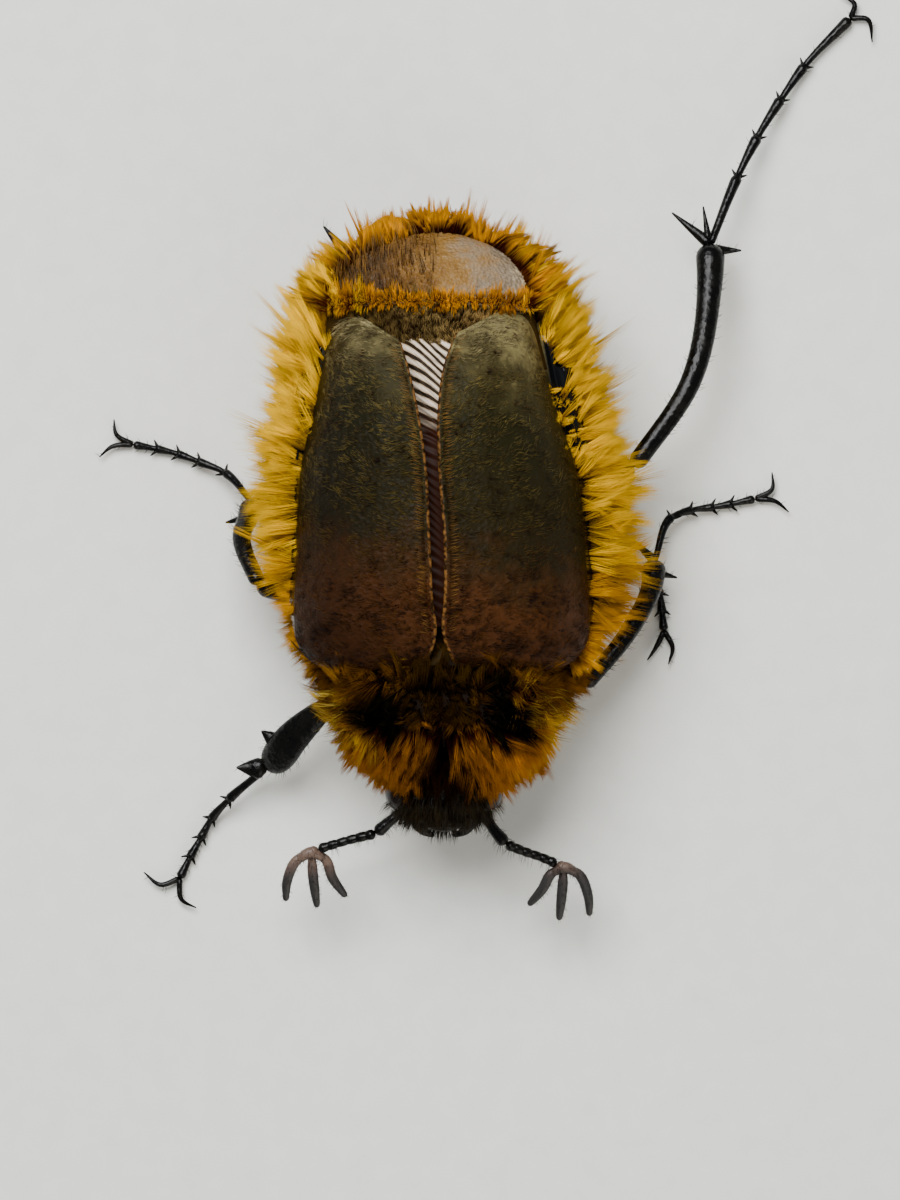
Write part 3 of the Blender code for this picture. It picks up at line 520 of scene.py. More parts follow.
def case_hair_colour(tree):
    """Olive tan over the rear of the wing cases, reddish brown towards their base, and a pale painted highlight at the
    tips.
    """
    y = add_node(tree, "ShaderNodeSeparateXYZ", {"Vector": root_place(tree)}).outputs["Y"]
    share = add_node(tree, "ShaderNodeMapRange", {"Value": y, "From Min": -3.5, "From Max": 4.5}).outputs["Result"]
    # The pale last stop at the tips is a painted highlight on the hair there.
    return add_node(tree, "ShaderNodeValToRGB", {"Fac": share}, stops=[
        (0.0, "#3A2006"), (0.25, "#4E2E0E"), (0.45, "#52441A"), (0.85, "#766838"), (1.0, "#A89C70")]).outputs["Color"]


def band_colour(tree):
    """Grey brown before the pygidium, paler and more golden towards the left."""
    x = add_node(tree, "ShaderNodeSeparateXYZ", {"Vector": root_place(tree)}).outputs["X"]
    share = add_node(tree, "ShaderNodeMapRange", {"Value": x, "From Min": -1.6, "From Max": 1.6}).outputs["Result"]
    return add_node(tree, "ShaderNodeValToRGB", {"Fac": share}, stops=[
        (0.0, "#6A5428"), (0.5, "#846C3E"), (1.0, "#C49C58")]).outputs["Color"]


COAT = hair_material("golden_bristle_cuticle", lambda tree: coat_colour(tree, root_place(tree)), spread=0.42,
                     roughness=0.6, gleam=0.0)
PALE_HAIR = hair_material("pale_yellow_bristle", "#B89A34")
CASE_HAIR = hair_material("short_brown_bristle", case_hair_colour, spread=0.45)
COMB_HAIR = hair_material("amber_bristle", "#86602A")
BAND_HAIR = hair_material("grey_brown_bristle", band_colour, spread=0.5)
BLACK_HAIR = hair_material("black_bristle", "#0E0C08", spread=0.2, roughness=0.35)
DARK_HAIR = hair_material("dark_brown_bristle", "#2A200A", spread=0.4)

# %% [markdown]
# The trunk is one skin from the neck to the tip of the abdomen, so no seam shows between the three
# solids that it stands for. It is a sphere with its poles at neck and tail. Each of its rings is laid on
# the trunk's section there, which is read smoothly from a table of stations.

# %% The trunk
TRUNK = [
    (-6.2, 3.75, 0.5, 0.55, 2.6), (-5.8, 4.3, 1.0, 1.1, 2.2), (-5.4, 4.75, 1.55, 1.75, 1.75),
    (-4.7, 5.1, 1.95, 2.2, 1.45), (-4.1, 5.3, 2.05, 2.3, 1.4), (-3.65, 5.2, 2.05, 2.35, 1.4),
    (-3.3, 4.7, 2.3, 2.6, 1.4), (-2.9, 4.6, 2.5, 2.9, 1.4), (-2.0, 4.6, 2.55, 3.15, 1.3),
    (-0.8, 4.6, 2.55, 3.2, 1.3), (0.6, 4.5, 2.5, 3.2, 1.35), (2.2, 4.5, 2.35, 3.1, 1.4),
    (3.6, 4.3, 2.15, 2.9, 1.5), (4.7, 4.15, 1.95, 2.6, 1.65), (5.5, 3.85, 1.65, 2.15, 1.8),
    (6.1, 3.2, 1.15, 1.45, 1.95), (6.45, 2.75, 0.6, 0.8, 2.15),
]
FLANK_LEVEL = 2.55
SEGMENT_LENGTH = 0.95
SEGMENT_GROOVE = 0.035
TAIL_BEND = [(1.0, 0.0), (3.0, -0.1), (4.4, -0.26), (5.4, -0.33), (6.4, -0.2), (7.5, -0.05)]



def catmull(values, low, t):
    """A smooth curve through the points of every column, read at t between point low and the next."""
    column = np.arange(len(t))
    last = len(values) - 1
    before, here = values[np.maximum(low - 1, 0), column], values[low, column]
    there, after = values[low + 1, column], values[np.minimum(low + 2, last), column]
    return 0.5 * (2 * here + (there - before) * t + (2 * before - 5 * here + 4 * there - after) * t ** 2
                  + (3 * here - before - 3 * there + after) * t ** 3)


def trunk_place(turn, share):
    """Lays a ring of the sphere on the trunk's section at its station."""
    pole = np.cos(math.pi * share)
    front, back = TRUNK[0][0] - 0.1, TRUNK[-1][0] + 0.1
    y = (front + back) / 2.0 - (back - front) / 2.0 * pole
    top, upper, flank, bottom = (smooth([(row[0], row[k]) for row in TRUNK], y) for k in (1, 2, 3, 4))
    level = np.minimum(FLANK_LEVEL, bottom + 0.45 * (top - bottom))
    above, below = top - level, level - bottom
    xs = [0.0 * top, 0.55 * upper, 0.88 * upper, upper, flank, 0.96 * flank, 0.72 * flank, 0.38 * flank, 0.0 * top]
    zs = [top, top - 0.04 * above, top - 0.2 * above, level + 0.3 * above, level, level - 0.32 * below,
          bottom + 0.24 * below, bottom + 0.04 * below, bottom]
    down = np.abs(turn) / math.pi * (len(xs) - 1)
    low = np.clip(down.astype(int), 0, len(xs) - 2)
    t = down - low
    x, z = (catmull(np.array(values), low, t) for values in (xs, zs))
    groove = np.exp(-(((y - 1.0) % SEGMENT_LENGTH - SEGMENT_LENGTH / 2.0) / 0.07) ** 2) * (y > 1.0)
    scale = np.sqrt(np.clip(1.0 - np.abs(pole) ** 24, 0.0, 1.0)) * (1.0 - SEGMENT_GROOVE * groove)
    return np.stack([np.sign(turn) * x * scale + smooth(TAIL_BEND, y), y, level + (z - level) * scale], axis=1)


TRUNK_CUTICLE, tree, shader = new_material("dull_trunk_cuticle")
place = beetle_place(tree).outputs["Vector"]
under = add_node(tree, "ShaderNodeMix", data_type="RGBA")
under.inputs[0].default_value = 0.98
tree.links.new(coat_colour(tree, place), under.inputs[6])
under.inputs[7].default_value = colour("#120A05")
tree.links.new(under.outputs[2], shader.inputs["Base Color"])
# Hair sockets stand about 0.09 mm apart.
pits = add_node(tree, "ShaderNodeTexVoronoi", {"Vector": place, "Scale": 11.0}).outputs["Distance"]
bump = add_node(tree, "ShaderNodeBump", {"Height": pits, "Strength": 0.6, "Distance": 0.00002})
tree.links.new(bump.outputs["Normal"], shader.inputs["Normal"])
shader.inputs["Roughness"].default_value = 0.75
shader.inputs["Specular IOR Level"].default_value = 0.08

trunk = ball(96, 128, trunk_place)
face_out(trunk)
finish_piece(trunk, "trunk_skin", TRUNK_CUTICLE, "coat", "prothorax", "thorax", "abdomen")

# %% [markdown]
# A wing case is a stiff, vaulted shell. It is a grid laid between its inner edge at the suture, its outer
# edge, its base and its rounded tip, then given a wall. A low bead runs along both long edges, the
# shoulder and the callus near the tip stand out a little, and the surface is faintly ribbed.

# %% The wing cases
ELYTRON_BASE = -3.4
ELYTRON_APEX = 4.8
ELYTRON_EDGE = 3.3
ELYTRON_WALL = 0.2
ELYTRON_HEIGHT = [(-4.0, 5.4), (-2.5, 5.82), (0.0, 6.06), (3.0, 5.84), (4.2, 5.36), (5.0, 4.7)]
ELYTRON_HALF_WIDTH = [(-4.0, 3.15), (-3.0, 3.45), (-1.0, 3.45), (1.5, 3.25), (4.0, 2.8), (5.0, 2.5)]
SUTURE_HALF_GAP = [(-4.0, 0.4), (-3.4, 0.3), (-2.75, 0.08), (-2.5, 0.05), (-2.1, 0.1), (-0.8, 0.15), (1.4, 0.14),
                   (2.5, 0.22), (3.6, 0.42), (4.3, 0.66), (5.0, 0.98)]
SUTURE_BEND = [(-4.0, -0.05), (-2.2, -0.12), (-0.8, -0.15), (1.4, -0.28), (2.5, -0.37), (3.6, -0.42), (5.0, -0.36)]
EDGE_BEND_SHARE = 0.4
BASE_CURVE = [(0.0, 0.0), (0.45, -0.1), (0.6, -0.04), (0.73, 0.14), (0.85, 0.5), (0.93, 0.95), (1.0, 1.45)]
APEX_CURVE = [(0.0, -0.55), (0.25, -0.06), (0.5, 0.0), (0.8, -0.3), (1.0, -0.95)]
MARGIN_WIDTH = 0.3
BUMPS = [(2.5, -2.3, 0.08, 0.6), (1.75, 3.75, 0.12, 0.55), (1.0, 3.2, 0.05, 0.5)]


def case_level(x, y):
    """The height of the wing cases' vault at a place, with a flat margin outside it near the tip."""
    shelf = MARGIN_WIDTH * np.clip((y - 1.0) / 1.8, 0.0, 1.0)
    outer, height = smooth(ELYTRON_HALF_WIDTH, y) - shelf, smooth(ELYTRON_HEIGHT, y)
    vault = np.sqrt(np.clip(1.0 - (np.abs(x) / outer) ** 2.6, 0.0, 1.0))
    lip = 0.3 * np.clip(np.abs(x) - outer, 0.0, 1.0)
    return ELYTRON_EDGE + (height - ELYTRON_EDGE) * vault + lip + 0.45 * shelf


def wing_case_place(side):
    """Lays a grid on the wing case of one side, from suture to outer edge and from base to tip."""
    def place(across, along):
        front = ELYTRON_BASE + smooth(BASE_CURVE, across)
        back = ELYTRON_APEX + 0.08 * side + smooth(APEX_CURVE, across)
        y = front + (back - front) * along
        inner, outer = smooth(SUTURE_HALF_GAP, y), smooth(ELYTRON_HALF_WIDTH, y)
        x = inner + (outer - inner) * np.sin(math.pi / 2.0 * across)
        z = case_level(x, y)
        for centre_x, centre_y, rise, reach in BUMPS:
            z += rise * np.exp(-((x - centre_x) ** 2 + (y - centre_y) ** 2) / reach ** 2)
        z += 0.04 * np.exp(-((across - 0.015) / 0.015) ** 2)
        z += 0.012 * np.cos(across * 2.0 * math.pi * 5.0) * np.sin(math.pi * along) * (across < 0.8)
        x += 0.07 * np.exp(-((across - 0.975) / 0.03) ** 2)
        z -= 0.3 * np.clip((along - 0.93) / 0.07, 0.0, 1.0) ** 2 + 0.25 * np.clip((0.04 - along) / 0.04, 0.0, 1.0) ** 2
        bend = smooth(SUTURE_BEND, y) * (1.0 - (1.0 - EDGE_BEND_SHARE) * across)
        return np.stack([side * x + bend, y, z], axis=1)
    return place


# %% [markdown]
# A wing case is thick, tanned cuticle with a dull, oily surface. Its colour is nearly black, olive
# towards the tip and reddish brown near the base, and painted pale at the very tip as a painted sheen.
# Hairs stand in fine pits, and between them the surface is finely wrinkled. The inner edge is reddish, and
# the outer edge is smooth, black and glossy.

# %% Wing case cuticle
WING_CASE, tree, shader = new_material("tanned_wing_case_cuticle")
place = beetle_place(tree).outputs["Vector"]
split = add_node(tree, "ShaderNodeSeparateXYZ", {"Vector": place})
clouds = add_node(tree, "ShaderNodeTexNoise", {"Vector": place, "Scale": 1.4, "Detail": 5.0, "Roughness": 0.6})
# The left wing case is paler than the right one, as it lies a little more towards the light.
shift = add_node(tree, "ShaderNodeMath", {0: split.outputs["X"], 1: 0.18, 2: split.outputs["Y"]},
                 operation="MULTIPLY_ADD").outputs[0]
shift = add_node(tree, "ShaderNodeMath", {0: clouds.outputs["Fac"], 1: 3.5, 2: shift},
                 operation="MULTIPLY_ADD").outputs[0]
length = add_node(tree, "ShaderNodeMapRange", {"Value": shift, "From Min": -2.0, "From Max": 6.5}).outputs["Result"]
# The pale last stops at the tips are a painted sheen over their own olive: the light on the tips painted into the
# colour.
body = add_node(tree, "ShaderNodeValToRGB", {"Fac": length}, stops=[
    (0.0, "#301806"), (0.22, "#3C2008"), (0.4, "#1C1606"), (0.72, "#1A1806"), (0.88, "#38321A"), (1.0, "#7A7048")])
# Painted shade: the outer part of the right wing case is painted darker, as it lies in shade.
painted_right_shade = add_node(tree, "ShaderNodeMapRange", {
    "Value": split.outputs["X"], "From Min": -3.0, "From Max": -0.5, "To Min": 0.45, "To Max": 1.0}).outputs["Result"]
body = add_node(tree, "ShaderNodeHueSaturation", {"Color": body.outputs["Color"], "Value": painted_right_shade})
surface_uv = add_node(tree, "ShaderNodeSeparateXYZ", {
    "Vector": add_node(tree, "ShaderNodeUVMap", uv_map="UVMap").outputs["UV"]}).outputs["X"]
edges = add_node(tree, "ShaderNodeValToRGB", {"Fac": surface_uv}, stops=[
    (0.0, "#FFFFFF"), (0.01, "#FFFFFF"), (0.015, "#000000"), (1.0, "#000000")]).outputs["Color"]
with_suture = add_node(tree, "ShaderNodeMix", data_type="RGBA")
tree.links.new(edges, with_suture.inputs[0])
tree.links.new(body.outputs["Color"], with_suture.inputs[6])
# The rim of the suture is beaded, with a bead about every 0.1 mm.
beads = add_node(tree, "ShaderNodeTexNoise", {"Vector": place, "Scale": 9.0, "Detail": 1.0}).outputs["Fac"]
beads = add_node(tree, "ShaderNodeValToRGB", {"Fac": beads}, stops=[(0.4, "#241606"), (0.62, "#6E4A22")]).outputs["Color"]
tree.links.new(beads, with_suture.inputs[7])
# The bare margin is 0.05 mm wide at the shoulder and widens to 0.3 mm beside the tip.
wider = add_node(tree, "ShaderNodeMapRange", {
    "Value": split.outputs["Y"], "From Min": 1.0, "From Max": 2.8, "To Min": 0.0, "To Max": 0.16}).outputs["Result"]
rim = add_node(tree, "ShaderNodeMath", {0: surface_uv, 1: wider}, operation="ADD").outputs[0]
margin = add_node(tree, "ShaderNodeMapRange", {"Value": rim, "From Min": 0.86, "From Max": 0.89}).outputs["Result"]
with_margin = add_node(tree, "ShaderNodeMix", data_type="RGBA")
tree.links.new(margin, with_margin.inputs[0])
tree.links.new(with_suture.outputs[2], with_margin.inputs[6])
with_margin.inputs[7].default_value = colour("#08090B")
tree.links.new(with_margin.outputs[2], shader.inputs["Base Color"])
# Pits stand 0.1 mm apart, and the wrinkles between them are about 0.25 mm long.
pits = add_node(tree, "ShaderNodeTexVoronoi", {"Vector": place, "Scale": 9.0}).outputs["Distance"]
wrinkles = add_node(tree, "ShaderNodeTexNoise", {"Vector": place, "Scale": 4.5, "Detail": 6.0,
                                                 "Distortion": 1.2}).outputs["Fac"]
relief = add_node(tree, "ShaderNodeMath", {0: wrinkles, 1: 1.6, 2: pits}, operation="MULTIPLY_ADD").outputs[0]
calm = add_node(tree, "ShaderNodeMath", {0: 1.0, 1: margin}, operation="SUBTRACT").outputs[0]
relief = add_node(tree, "ShaderNodeMath", {0: relief, 1: calm}, operation="MULTIPLY").outputs[0]
bump = add_node(tree, "ShaderNodeBump", {"Height": relief, "Strength": 0.6, "Distance": 0.00003})
tree.links.new(bump.outputs["Normal"], shader.inputs["Normal"])
oil = add_node(tree, "ShaderNodeMapRange", {"Value": clouds.outputs["Fac"], "From Min": 0.3, "From Max": 0.7,
                                            "To Min": 0.44, "To Max": 0.66}).outputs["Result"]
gloss = add_node(tree, "ShaderNodeMix", data_type="FLOAT")
tree.links.new(margin, gloss.inputs[0])
tree.links.new(oil, gloss.inputs[2])
gloss.inputs[3].default_value = 0.14
tree.links.new(gloss.outputs[0], shader.inputs["Roughness"])
shine = add_node(tree, "ShaderNodeMapRange", {"Value": margin, "To Min": 0.08, "To Max": 0.24}).outputs["Result"]
tree.links.new(shine, shader.inputs["Specular IOR Level"])

wing_cases = {}
for name, side in (("left", 1.0), ("right", -1.0)):
    case = plate(90, 130, wing_case_place(side))
    thicken(case, ELYTRON_WALL, (0.0, 0.0, 1.0))
    wing_cases[name] = finish_piece(case, "wing_case_" + name, WING_CASE, "wing_case", "elytron_" + name)

# %% [markdown]
# Short brown bristles lie over the wing cases. They point away from the suture and towards the tip, and
# are densest on the inner half. A comb of stiff amber bristles stands along each sutural edge.

# %% Hair on the wing cases
CASE_HAIR_LENGTH = 0.28
CASE_HAIR_COUNT = 9500
COMB_COUNT = 200


def case_chance(points, normals):
    """Outer faces only, densest beside the suture and again at the base."""
    across = np.abs(points[:, 0]) / 3.4
    x = np.abs(points[:, 0] - (1.0 - 0.6 * across) * smooth(SUTURE_BEND, points[:, 1]))
    outer = smooth(ELYTRON_HALF_WIDTH, points[:, 1]) - MARGIN_WIDTH * np.clip((points[:, 1] - 1.0) / 1.8, 0.0, 1.0)
    return (normals[:, 2] > 0.15) * (x < 0.96 * outer) * (0.25 + np.clip(1.1 - across, 0.0, 1.0))


for name, side in (("left", 1.0), ("right", -1.0)):
    random = np.random.default_rng(11 if side > 0 else 12)
    grown = roots_on(wing_cases[name], CASE_HAIR_COUNT, case_chance, random)
    lie = np.array([side * 0.95, 0.35, 0.0]) + random.normal(0.0, 0.28, (CASE_HAIR_COUNT, 3))
    lie -= grown[1] * (lie * grown[1]).sum(axis=1)[:, None]
    reach = CASE_HAIR_LENGTH * random.uniform(0.6, 1.25, CASE_HAIR_COUNT)[:, None]
    reach *= 1.0 + 0.5 * (grown[0][:, 1:2] < -1.6)
    tips = grown[0] + (unit(lie) + grown[1] * 0.12) * reach
    hair("case_hair_" + name, grown, tips, 0.008, CASE_HAIR, "wing_case", random, hold=0.4, tuft=5, drift=0.2,
         rise=0.12, levels=(0.0, 0.5))
    along = np.linspace(0.1, 0.985, COMB_COUNT) + random.normal(0.0, 0.002, COMB_COUNT)
    roots = wing_case_place(side)(np.full(COMB_COUNT, 0.02), along)
    normals = np.tile([side * 0.2, 0.0, 1.0], (COMB_COUNT, 1))
    places = np.stack([np.full(COMB_COUNT, 0.02), along], axis=1)
    reach = random.uniform(0.2, 0.36, COMB_COUNT)[:, None]
    lie = np.array([side * 0.95, 0.25, 0.15]) + random.normal(0.0, 0.14, (COMB_COUNT, 3))
    hair("case_comb_" + name, (roots, normals, places), roots + unit(lie) * reach, 0.007, COMB_HAIR, "wing_case",
         random, hold=0.1, tuft=5, rise=0.15)

# %% [markdown]
# Behind the gap between the wing cases the folded hind wings show. They are clear membrane, pleated on
# the slant. Their colour is pale on each fold and dark between, painted shade in the pleats' valleys.
# The pleats are modelled as real waves of the sheet.

# %% The folded wings
WING_FRONT = -2.5
WING_BACK = 4.3
WING_HALF_WIDTH = 1.1
PLEAT_PITCH = 0.22
PLEAT_DEPTH = 0.05


def pleat(x, y):
    """The phase of the pleats, in turns: they run on the slant and sway a little."""
    return (y + 0.75 * x + 0.08 * np.sin(x * 5.0 + y * 2.0)) / PLEAT_PITCH


def wing_place(across, along):
    """Lays the folded wings just under the wing cases, in pleats."""
    x = (across * 2.0 - 1.0) * WING_HALF_WIDTH
    y = WING_FRONT + (WING_BACK - WING_FRONT) * along
    depth = PLEAT_DEPTH * np.clip((y - 1.5) / 0.9, 0.25, 1.0)
    z = smooth(ELYTRON_HEIGHT, y) - 0.62 - 0.25 * x ** 2 + depth * np.cos(2.0 * math.pi * pleat(x, y))
    z -= 0.35 * np.clip((along - 0.93) / 0.07, 0.0, 1.0) ** 2
    return np.stack([x + smooth(SUTURE_BEND, y), y, z], axis=1)


MEMBRANE, tree, shader = new_material("pleated_wing_membrane")
place = beetle_place(tree).outputs["Vector"]
split = add_node(tree, "ShaderNodeSeparateXYZ", {"Vector": place})
sway = add_node(tree, "ShaderNodeMath", {0: split.outputs["X"], 1: 5.0}, operation="MULTIPLY").outputs[0]
sway = add_node(tree, "ShaderNodeMath", {0: split.outputs["Y"], 1: 2.0, 2: sway}, operation="MULTIPLY_ADD").outputs[0]
sway = add_node(tree, "ShaderNodeMath", {0: sway}, operation="SINE").outputs[0]
phase = add_node(tree, "ShaderNodeMath", {0: sway, 1: 0.08, 2: split.outputs["Y"]}, operation="MULTIPLY_ADD").outputs[0]
phase = add_node(tree, "ShaderNodeMath", {0: split.outputs["X"], 1: 0.75, 2: phase}, operation="MULTIPLY_ADD").outputs[0]
phase = add_node(tree, "ShaderNodeMath", {0: phase, 1: 2.0 * math.pi / PLEAT_PITCH}, operation="MULTIPLY").outputs[0]
# Dark in the valleys of the pleats and pale on their ridges: painted shade and light that follow the folds.
wave = add_node(tree, "ShaderNodeMath", {0: phase}, operation="COSINE").outputs[0]
blotch = add_node(tree, "ShaderNodeTexNoise", {"Vector": place, "Scale": 5.0, "Detail": 3.0}).outputs["Fac"]
wave = add_node(tree, "ShaderNodeMath", {0: blotch, 1: 1.2, 2: wave}, operation="MULTIPLY_ADD").outputs[0]
pleat_shade = add_node(tree, "ShaderNodeMapRange", {"Value": wave, "From Min": -0.4, "From Max": 1.6}).outputs["Result"]
tone = add_node(tree, "ShaderNodeValToRGB", {"Fac": pleat_shade}, stops=[
    (0.0, "#1C140A"), (0.3, "#3A2C16"), (0.46, "#B09C84"), (1.0, "#DCCCB8")])
fade = add_node(tree, "ShaderNodeMapRange", {"Value": split.outputs["Y"], "From Min": 2.0, "From Max": 2.7}).outputs["Result"]
shown = add_node(tree, "ShaderNodeMix", data_type="RGBA")
tree.links.new(fade, shown.inputs[0])
shown.inputs[6].default_value = colour("#2C1206")
tree.links.new(tone.outputs["Color"], shown.inputs[7])
tree.links.new(shown.outputs[2], shader.inputs["Base Color"])
shader.inputs["Roughness"].default_value = 0.45
shader.inputs["Specular IOR Level"].default_value = 0.12

wings = plate(70, 280, wing_place)
thicken(wings, 0.04, (0.0, 0.0, 1.0))
finish_piece(wings, "folded_wings", MEMBRANE, "wing", "wing_fold")

# %% [markdown]
# The scutellum is a small rounded triangle of cuticle. Behind the wing cases the last two back plates of
# the abdomen show: a dark, furry band, and then the pygidium, a brown shield. Towards its left side the brown
# is painted greyer and paler, a painted sheen of reflected light.

# %% Scutellum and back plates
SCUTELLUM_ROWS = [(-3.4, 0.42), (-3.2, 0.3), (-3.0, 0.12), (-2.95, 0.02)]
PYGIDIUM_FRONT = 5.05
PYGIDIUM_REAR = 6.85
PYGIDIUM_HALF = [(5.05, 2.35), (5.5, 2.38), (6.0, 2.1), (6.4, 1.6), (6.7, 0.95), (6.85, 0.4)]
PYGIDIUM_HEIGHT = [(5.05, 4.62), (5.55, 4.45), (6.0, 4.15), (6.4, 3.75), (6.85, 3.2)]


def scutellum_place(across, along):
    """Lays the scutellum as a low roof that narrows to the rear."""
    x = across * 2.0 - 1.0
    y = SCUTELLUM_ROWS[0][0] + (SCUTELLUM_ROWS[-1][0] - SCUTELLUM_ROWS[0][0]) * along
    half = smooth(SCUTELLUM_ROWS, y)
    return np.stack([x * half, y, 5.5 - 0.08 * x ** 2 - 0.1 * along ** 2], axis=1)


def pygidium_place(across, along):
    """Lays the pygidium as a vaulted shield that slopes down to the rear."""
    x = across * 2.0 - 1.0
    y = PYGIDIUM_FRONT + (PYGIDIUM_REAR - PYGIDIUM_FRONT) * along
    half = smooth(PYGIDIUM_HALF, y)
    z = smooth(PYGIDIUM_HEIGHT, y) - 0.5 * np.abs(x) ** 2.4
    z += 0.03 * np.exp(-((np.abs(x) - 0.45) / 0.16) ** 2) * np.sin(math.pi * along)
    return np.stack([x * half + smooth(TAIL_BEND, y), y - 0.15 * x ** 2, z], axis=1)


def back_plate_place(across, along):
    """Lays the furry plate that closes the gap before the pygidium."""
    x = across * 2.0 - 1.0
    y = 3.7 + 1.5 * along
    return np.stack([x * (2.6 - 0.2 * along) + smooth(TAIL_BEND, y), y - 0.2 * x ** 2,
                     4.55 - 0.02 * along - 0.75 * x ** 2], axis=1)


BACK_PLATE, tree, shader = new_material("brown_back_plate_cuticle")
place = beetle_place(tree).outputs["Vector"]
clouds = add_node(tree, "ShaderNodeTexNoise", {"Vector": place, "Scale": 1.6, "Detail": 8.0, "Roughness": 0.7})
# Painted sheen: towards the left side the brown is painted greyer and paler, as a painted reflection of the light.
painted_sheen = add_node(tree, "ShaderNodeSeparateXYZ", {"Vector": place}).outputs["X"]
painted_sheen = add_node(tree, "ShaderNodeMath", {0: clouds.outputs["Fac"], 1: 5.0, 2: painted_sheen},
                 operation="MULTIPLY_ADD").outputs[0]
painted_sheen = add_node(tree, "ShaderNodeMapRange", {"Value": painted_sheen, "From Min": 0.6, "From Max": 4.6}).outputs["Result"]
tone = add_node(tree, "ShaderNodeValToRGB", {"Fac": painted_sheen}, stops=[
    (0.0, "#3E2806"), (0.3, "#64420E"), (0.5, "#7C5A26"), (0.68, "#80684A"), (0.8, "#746450"), (0.9, "#7E705C"), (1.0, "#A09072")])
tree.links.new(tone.outputs["Color"], shader.inputs["Base Color"])
# Fine cross wrinkles stand about 0.15 mm apart, over a scaly grain of 0.08 mm.
scales = add_node(tree, "ShaderNodeTexVoronoi", {"Vector": place, "Scale": 12.0}).outputs["Distance"]
folds = add_node(tree, "ShaderNodeMapping", {"Vector": place, "Scale": [1.5, 6.0, 1.5]}).outputs["Vector"]
folds = add_node(tree, "ShaderNodeTexNoise", {"Vector": folds, "Scale": 1.2, "Detail": 5.0}).outputs["Fac"]
relief = add_node(tree, "ShaderNodeMath", {0: folds, 1: 3.0, 2: scales}, operation="MULTIPLY_ADD").outputs[0]
bump = add_node(tree, "ShaderNodeBump", {"Height": relief, "Strength": 0.8, "Distance": 0.00005})
tree.links.new(bump.outputs["Normal"], shader.inputs["Normal"])
shader.inputs["Roughness"].default_value = 0.4
shader.inputs["Specular IOR Level"].default_value = 0.25

scutellum = plate(16, 16, scutellum_place)
thicken(scutellum, 0.3, (0.0, 0.0, 1.0))
finish_piece(scutellum, "scutellum_plate", TRUNK_CUTICLE, "wing_case", "scutellum")
pygidium = plate(56, 44, pygidium_place)
thicken(pygidium, 0.2, (0.0, 0.0, 1.0))
finish_piece(pygidium, "pygidium_plate", BACK_PLATE, "pygidium", "pygidium")
back_plate = plate(40, 20, back_plate_place)
thicken(back_plate, 0.2, (0.0, 0.0, 1.0))
finish_piece(back_plate, "propygidium_plate", TRUNK_CUTICLE, "pygidium")

# %% [markdown]
# The coat grows out of the trunk's flanks to an outline that the photograph shows. For each root the
# script looks how far it is to that outline in the direction in which the hair lies, and lets the hair
# end there or a little before. High roots curl up beside the wing cases and low ones hang down.

# %% The coat of the flanks
COAT_OUTLINE = [(-4.4, 2.9), (-3.7, 3.45), (-2.7, 4.08), (-1.5, 4.46), (0.0, 4.68), (1.9, 4.48), (2.9, 4.14), (4.0, 3.9),
                (5.0, 3.66), (6.0, 3.2), (6.8, 2.35), (7.25, 1.35), (7.44, 0.0)]
COAT_BEND = [(-4.5, 0.15), (-3.5, 0.15), (-1.5, 0.22), (-0.3, 0.1), (1.0, 0.05), (1.9, -0.05), (2.9, -0.12),
             (4.0, -0.16), (5.0, -0.2), (5.5, -0.28), (7.4, -0.1)]
COAT_RISE = [(1.2, -0.45), (1.8, -0.1), (2.1, 0.45), (2.5, 1.0), (3.0, 1.15), (3.8, 0.7)]
COAT_WIDTH = 0.013
TUFTED = {"hold": 0.8, "tuft": 20, "drift": 0.13, "levels": (0.0, 0.5)}


def reach_to(outline, roots, heading):
    """How far each hair may go in plan before it passes the outline."""
    near, far = np.zeros(len(roots)), np.full(len(roots), 3.0)
    for _ in range(14):
        half_way = (near + far) / 2.0
        x, y = (roots[:, :2] + heading * half_way[:, None]).T
        inside = (np.abs(x - smooth(COAT_BEND, y)) < smooth(outline, y)) & (y > outline[0][0]) & (y < outline[-1][0])
        near, far = np.where(inside, half_way, near), np.where(inside, far, half_way)
    return near


def flank_tips(grown, random):
    """Tips for hair that leaves the flank sideways and leans to the rear."""
    roots, normals, _ = grown
    size = len(roots)
    lean = 0.04 + 0.1 * np.clip(roots[:, 1], -3.0, 6.0)
    heading = unit(np.stack([normals[:, 0], normals[:, 1] * 0.6 + lean], axis=1) + random.normal(0.0, 0.14, (size, 2)))
    reach = reach_to(COAT_OUTLINE, roots, heading) * random.uniform(0.82, 1.04, size)
    reach = np.clip(reach, 0.25, 2.2)
    rise = smooth(COAT_RISE, roots[:, 2]) * reach / 1.35 + random.normal(0.0, 0.12, size)
    return roots + np.column_stack([heading * reach[:, None], rise])


def flank_chance(side, front, back):
    """The part of one flank between two stations, clear of the wing cases and of the pygidium."""
    def chance(points, normals):
        x, y, z = points.T
        covered = (y > 4.9) * (np.abs(x - smooth(TAIL_BEND, y)) < smooth(PYGIDIUM_HALF, y) - 0.05)
        beside = np.abs(x - EDGE_BEND_SHARE * smooth(SUTURE_BEND, y)) > smooth(ELYTRON_HALF_WIDTH, y) - 0.12
        high = np.where(y > 4.7, np.where(covered, 2.5, 3.6), np.where(beside, 3.3, 2.95))
        shown = (x * side > 0.0) & (y > front) & (y <= back) & (z > 1.5) & (z < high) & (np.abs(normals[:, 2]) < 0.93)
        return shown * (0.6 + 0.4 * (z > 2.0))
    return chance


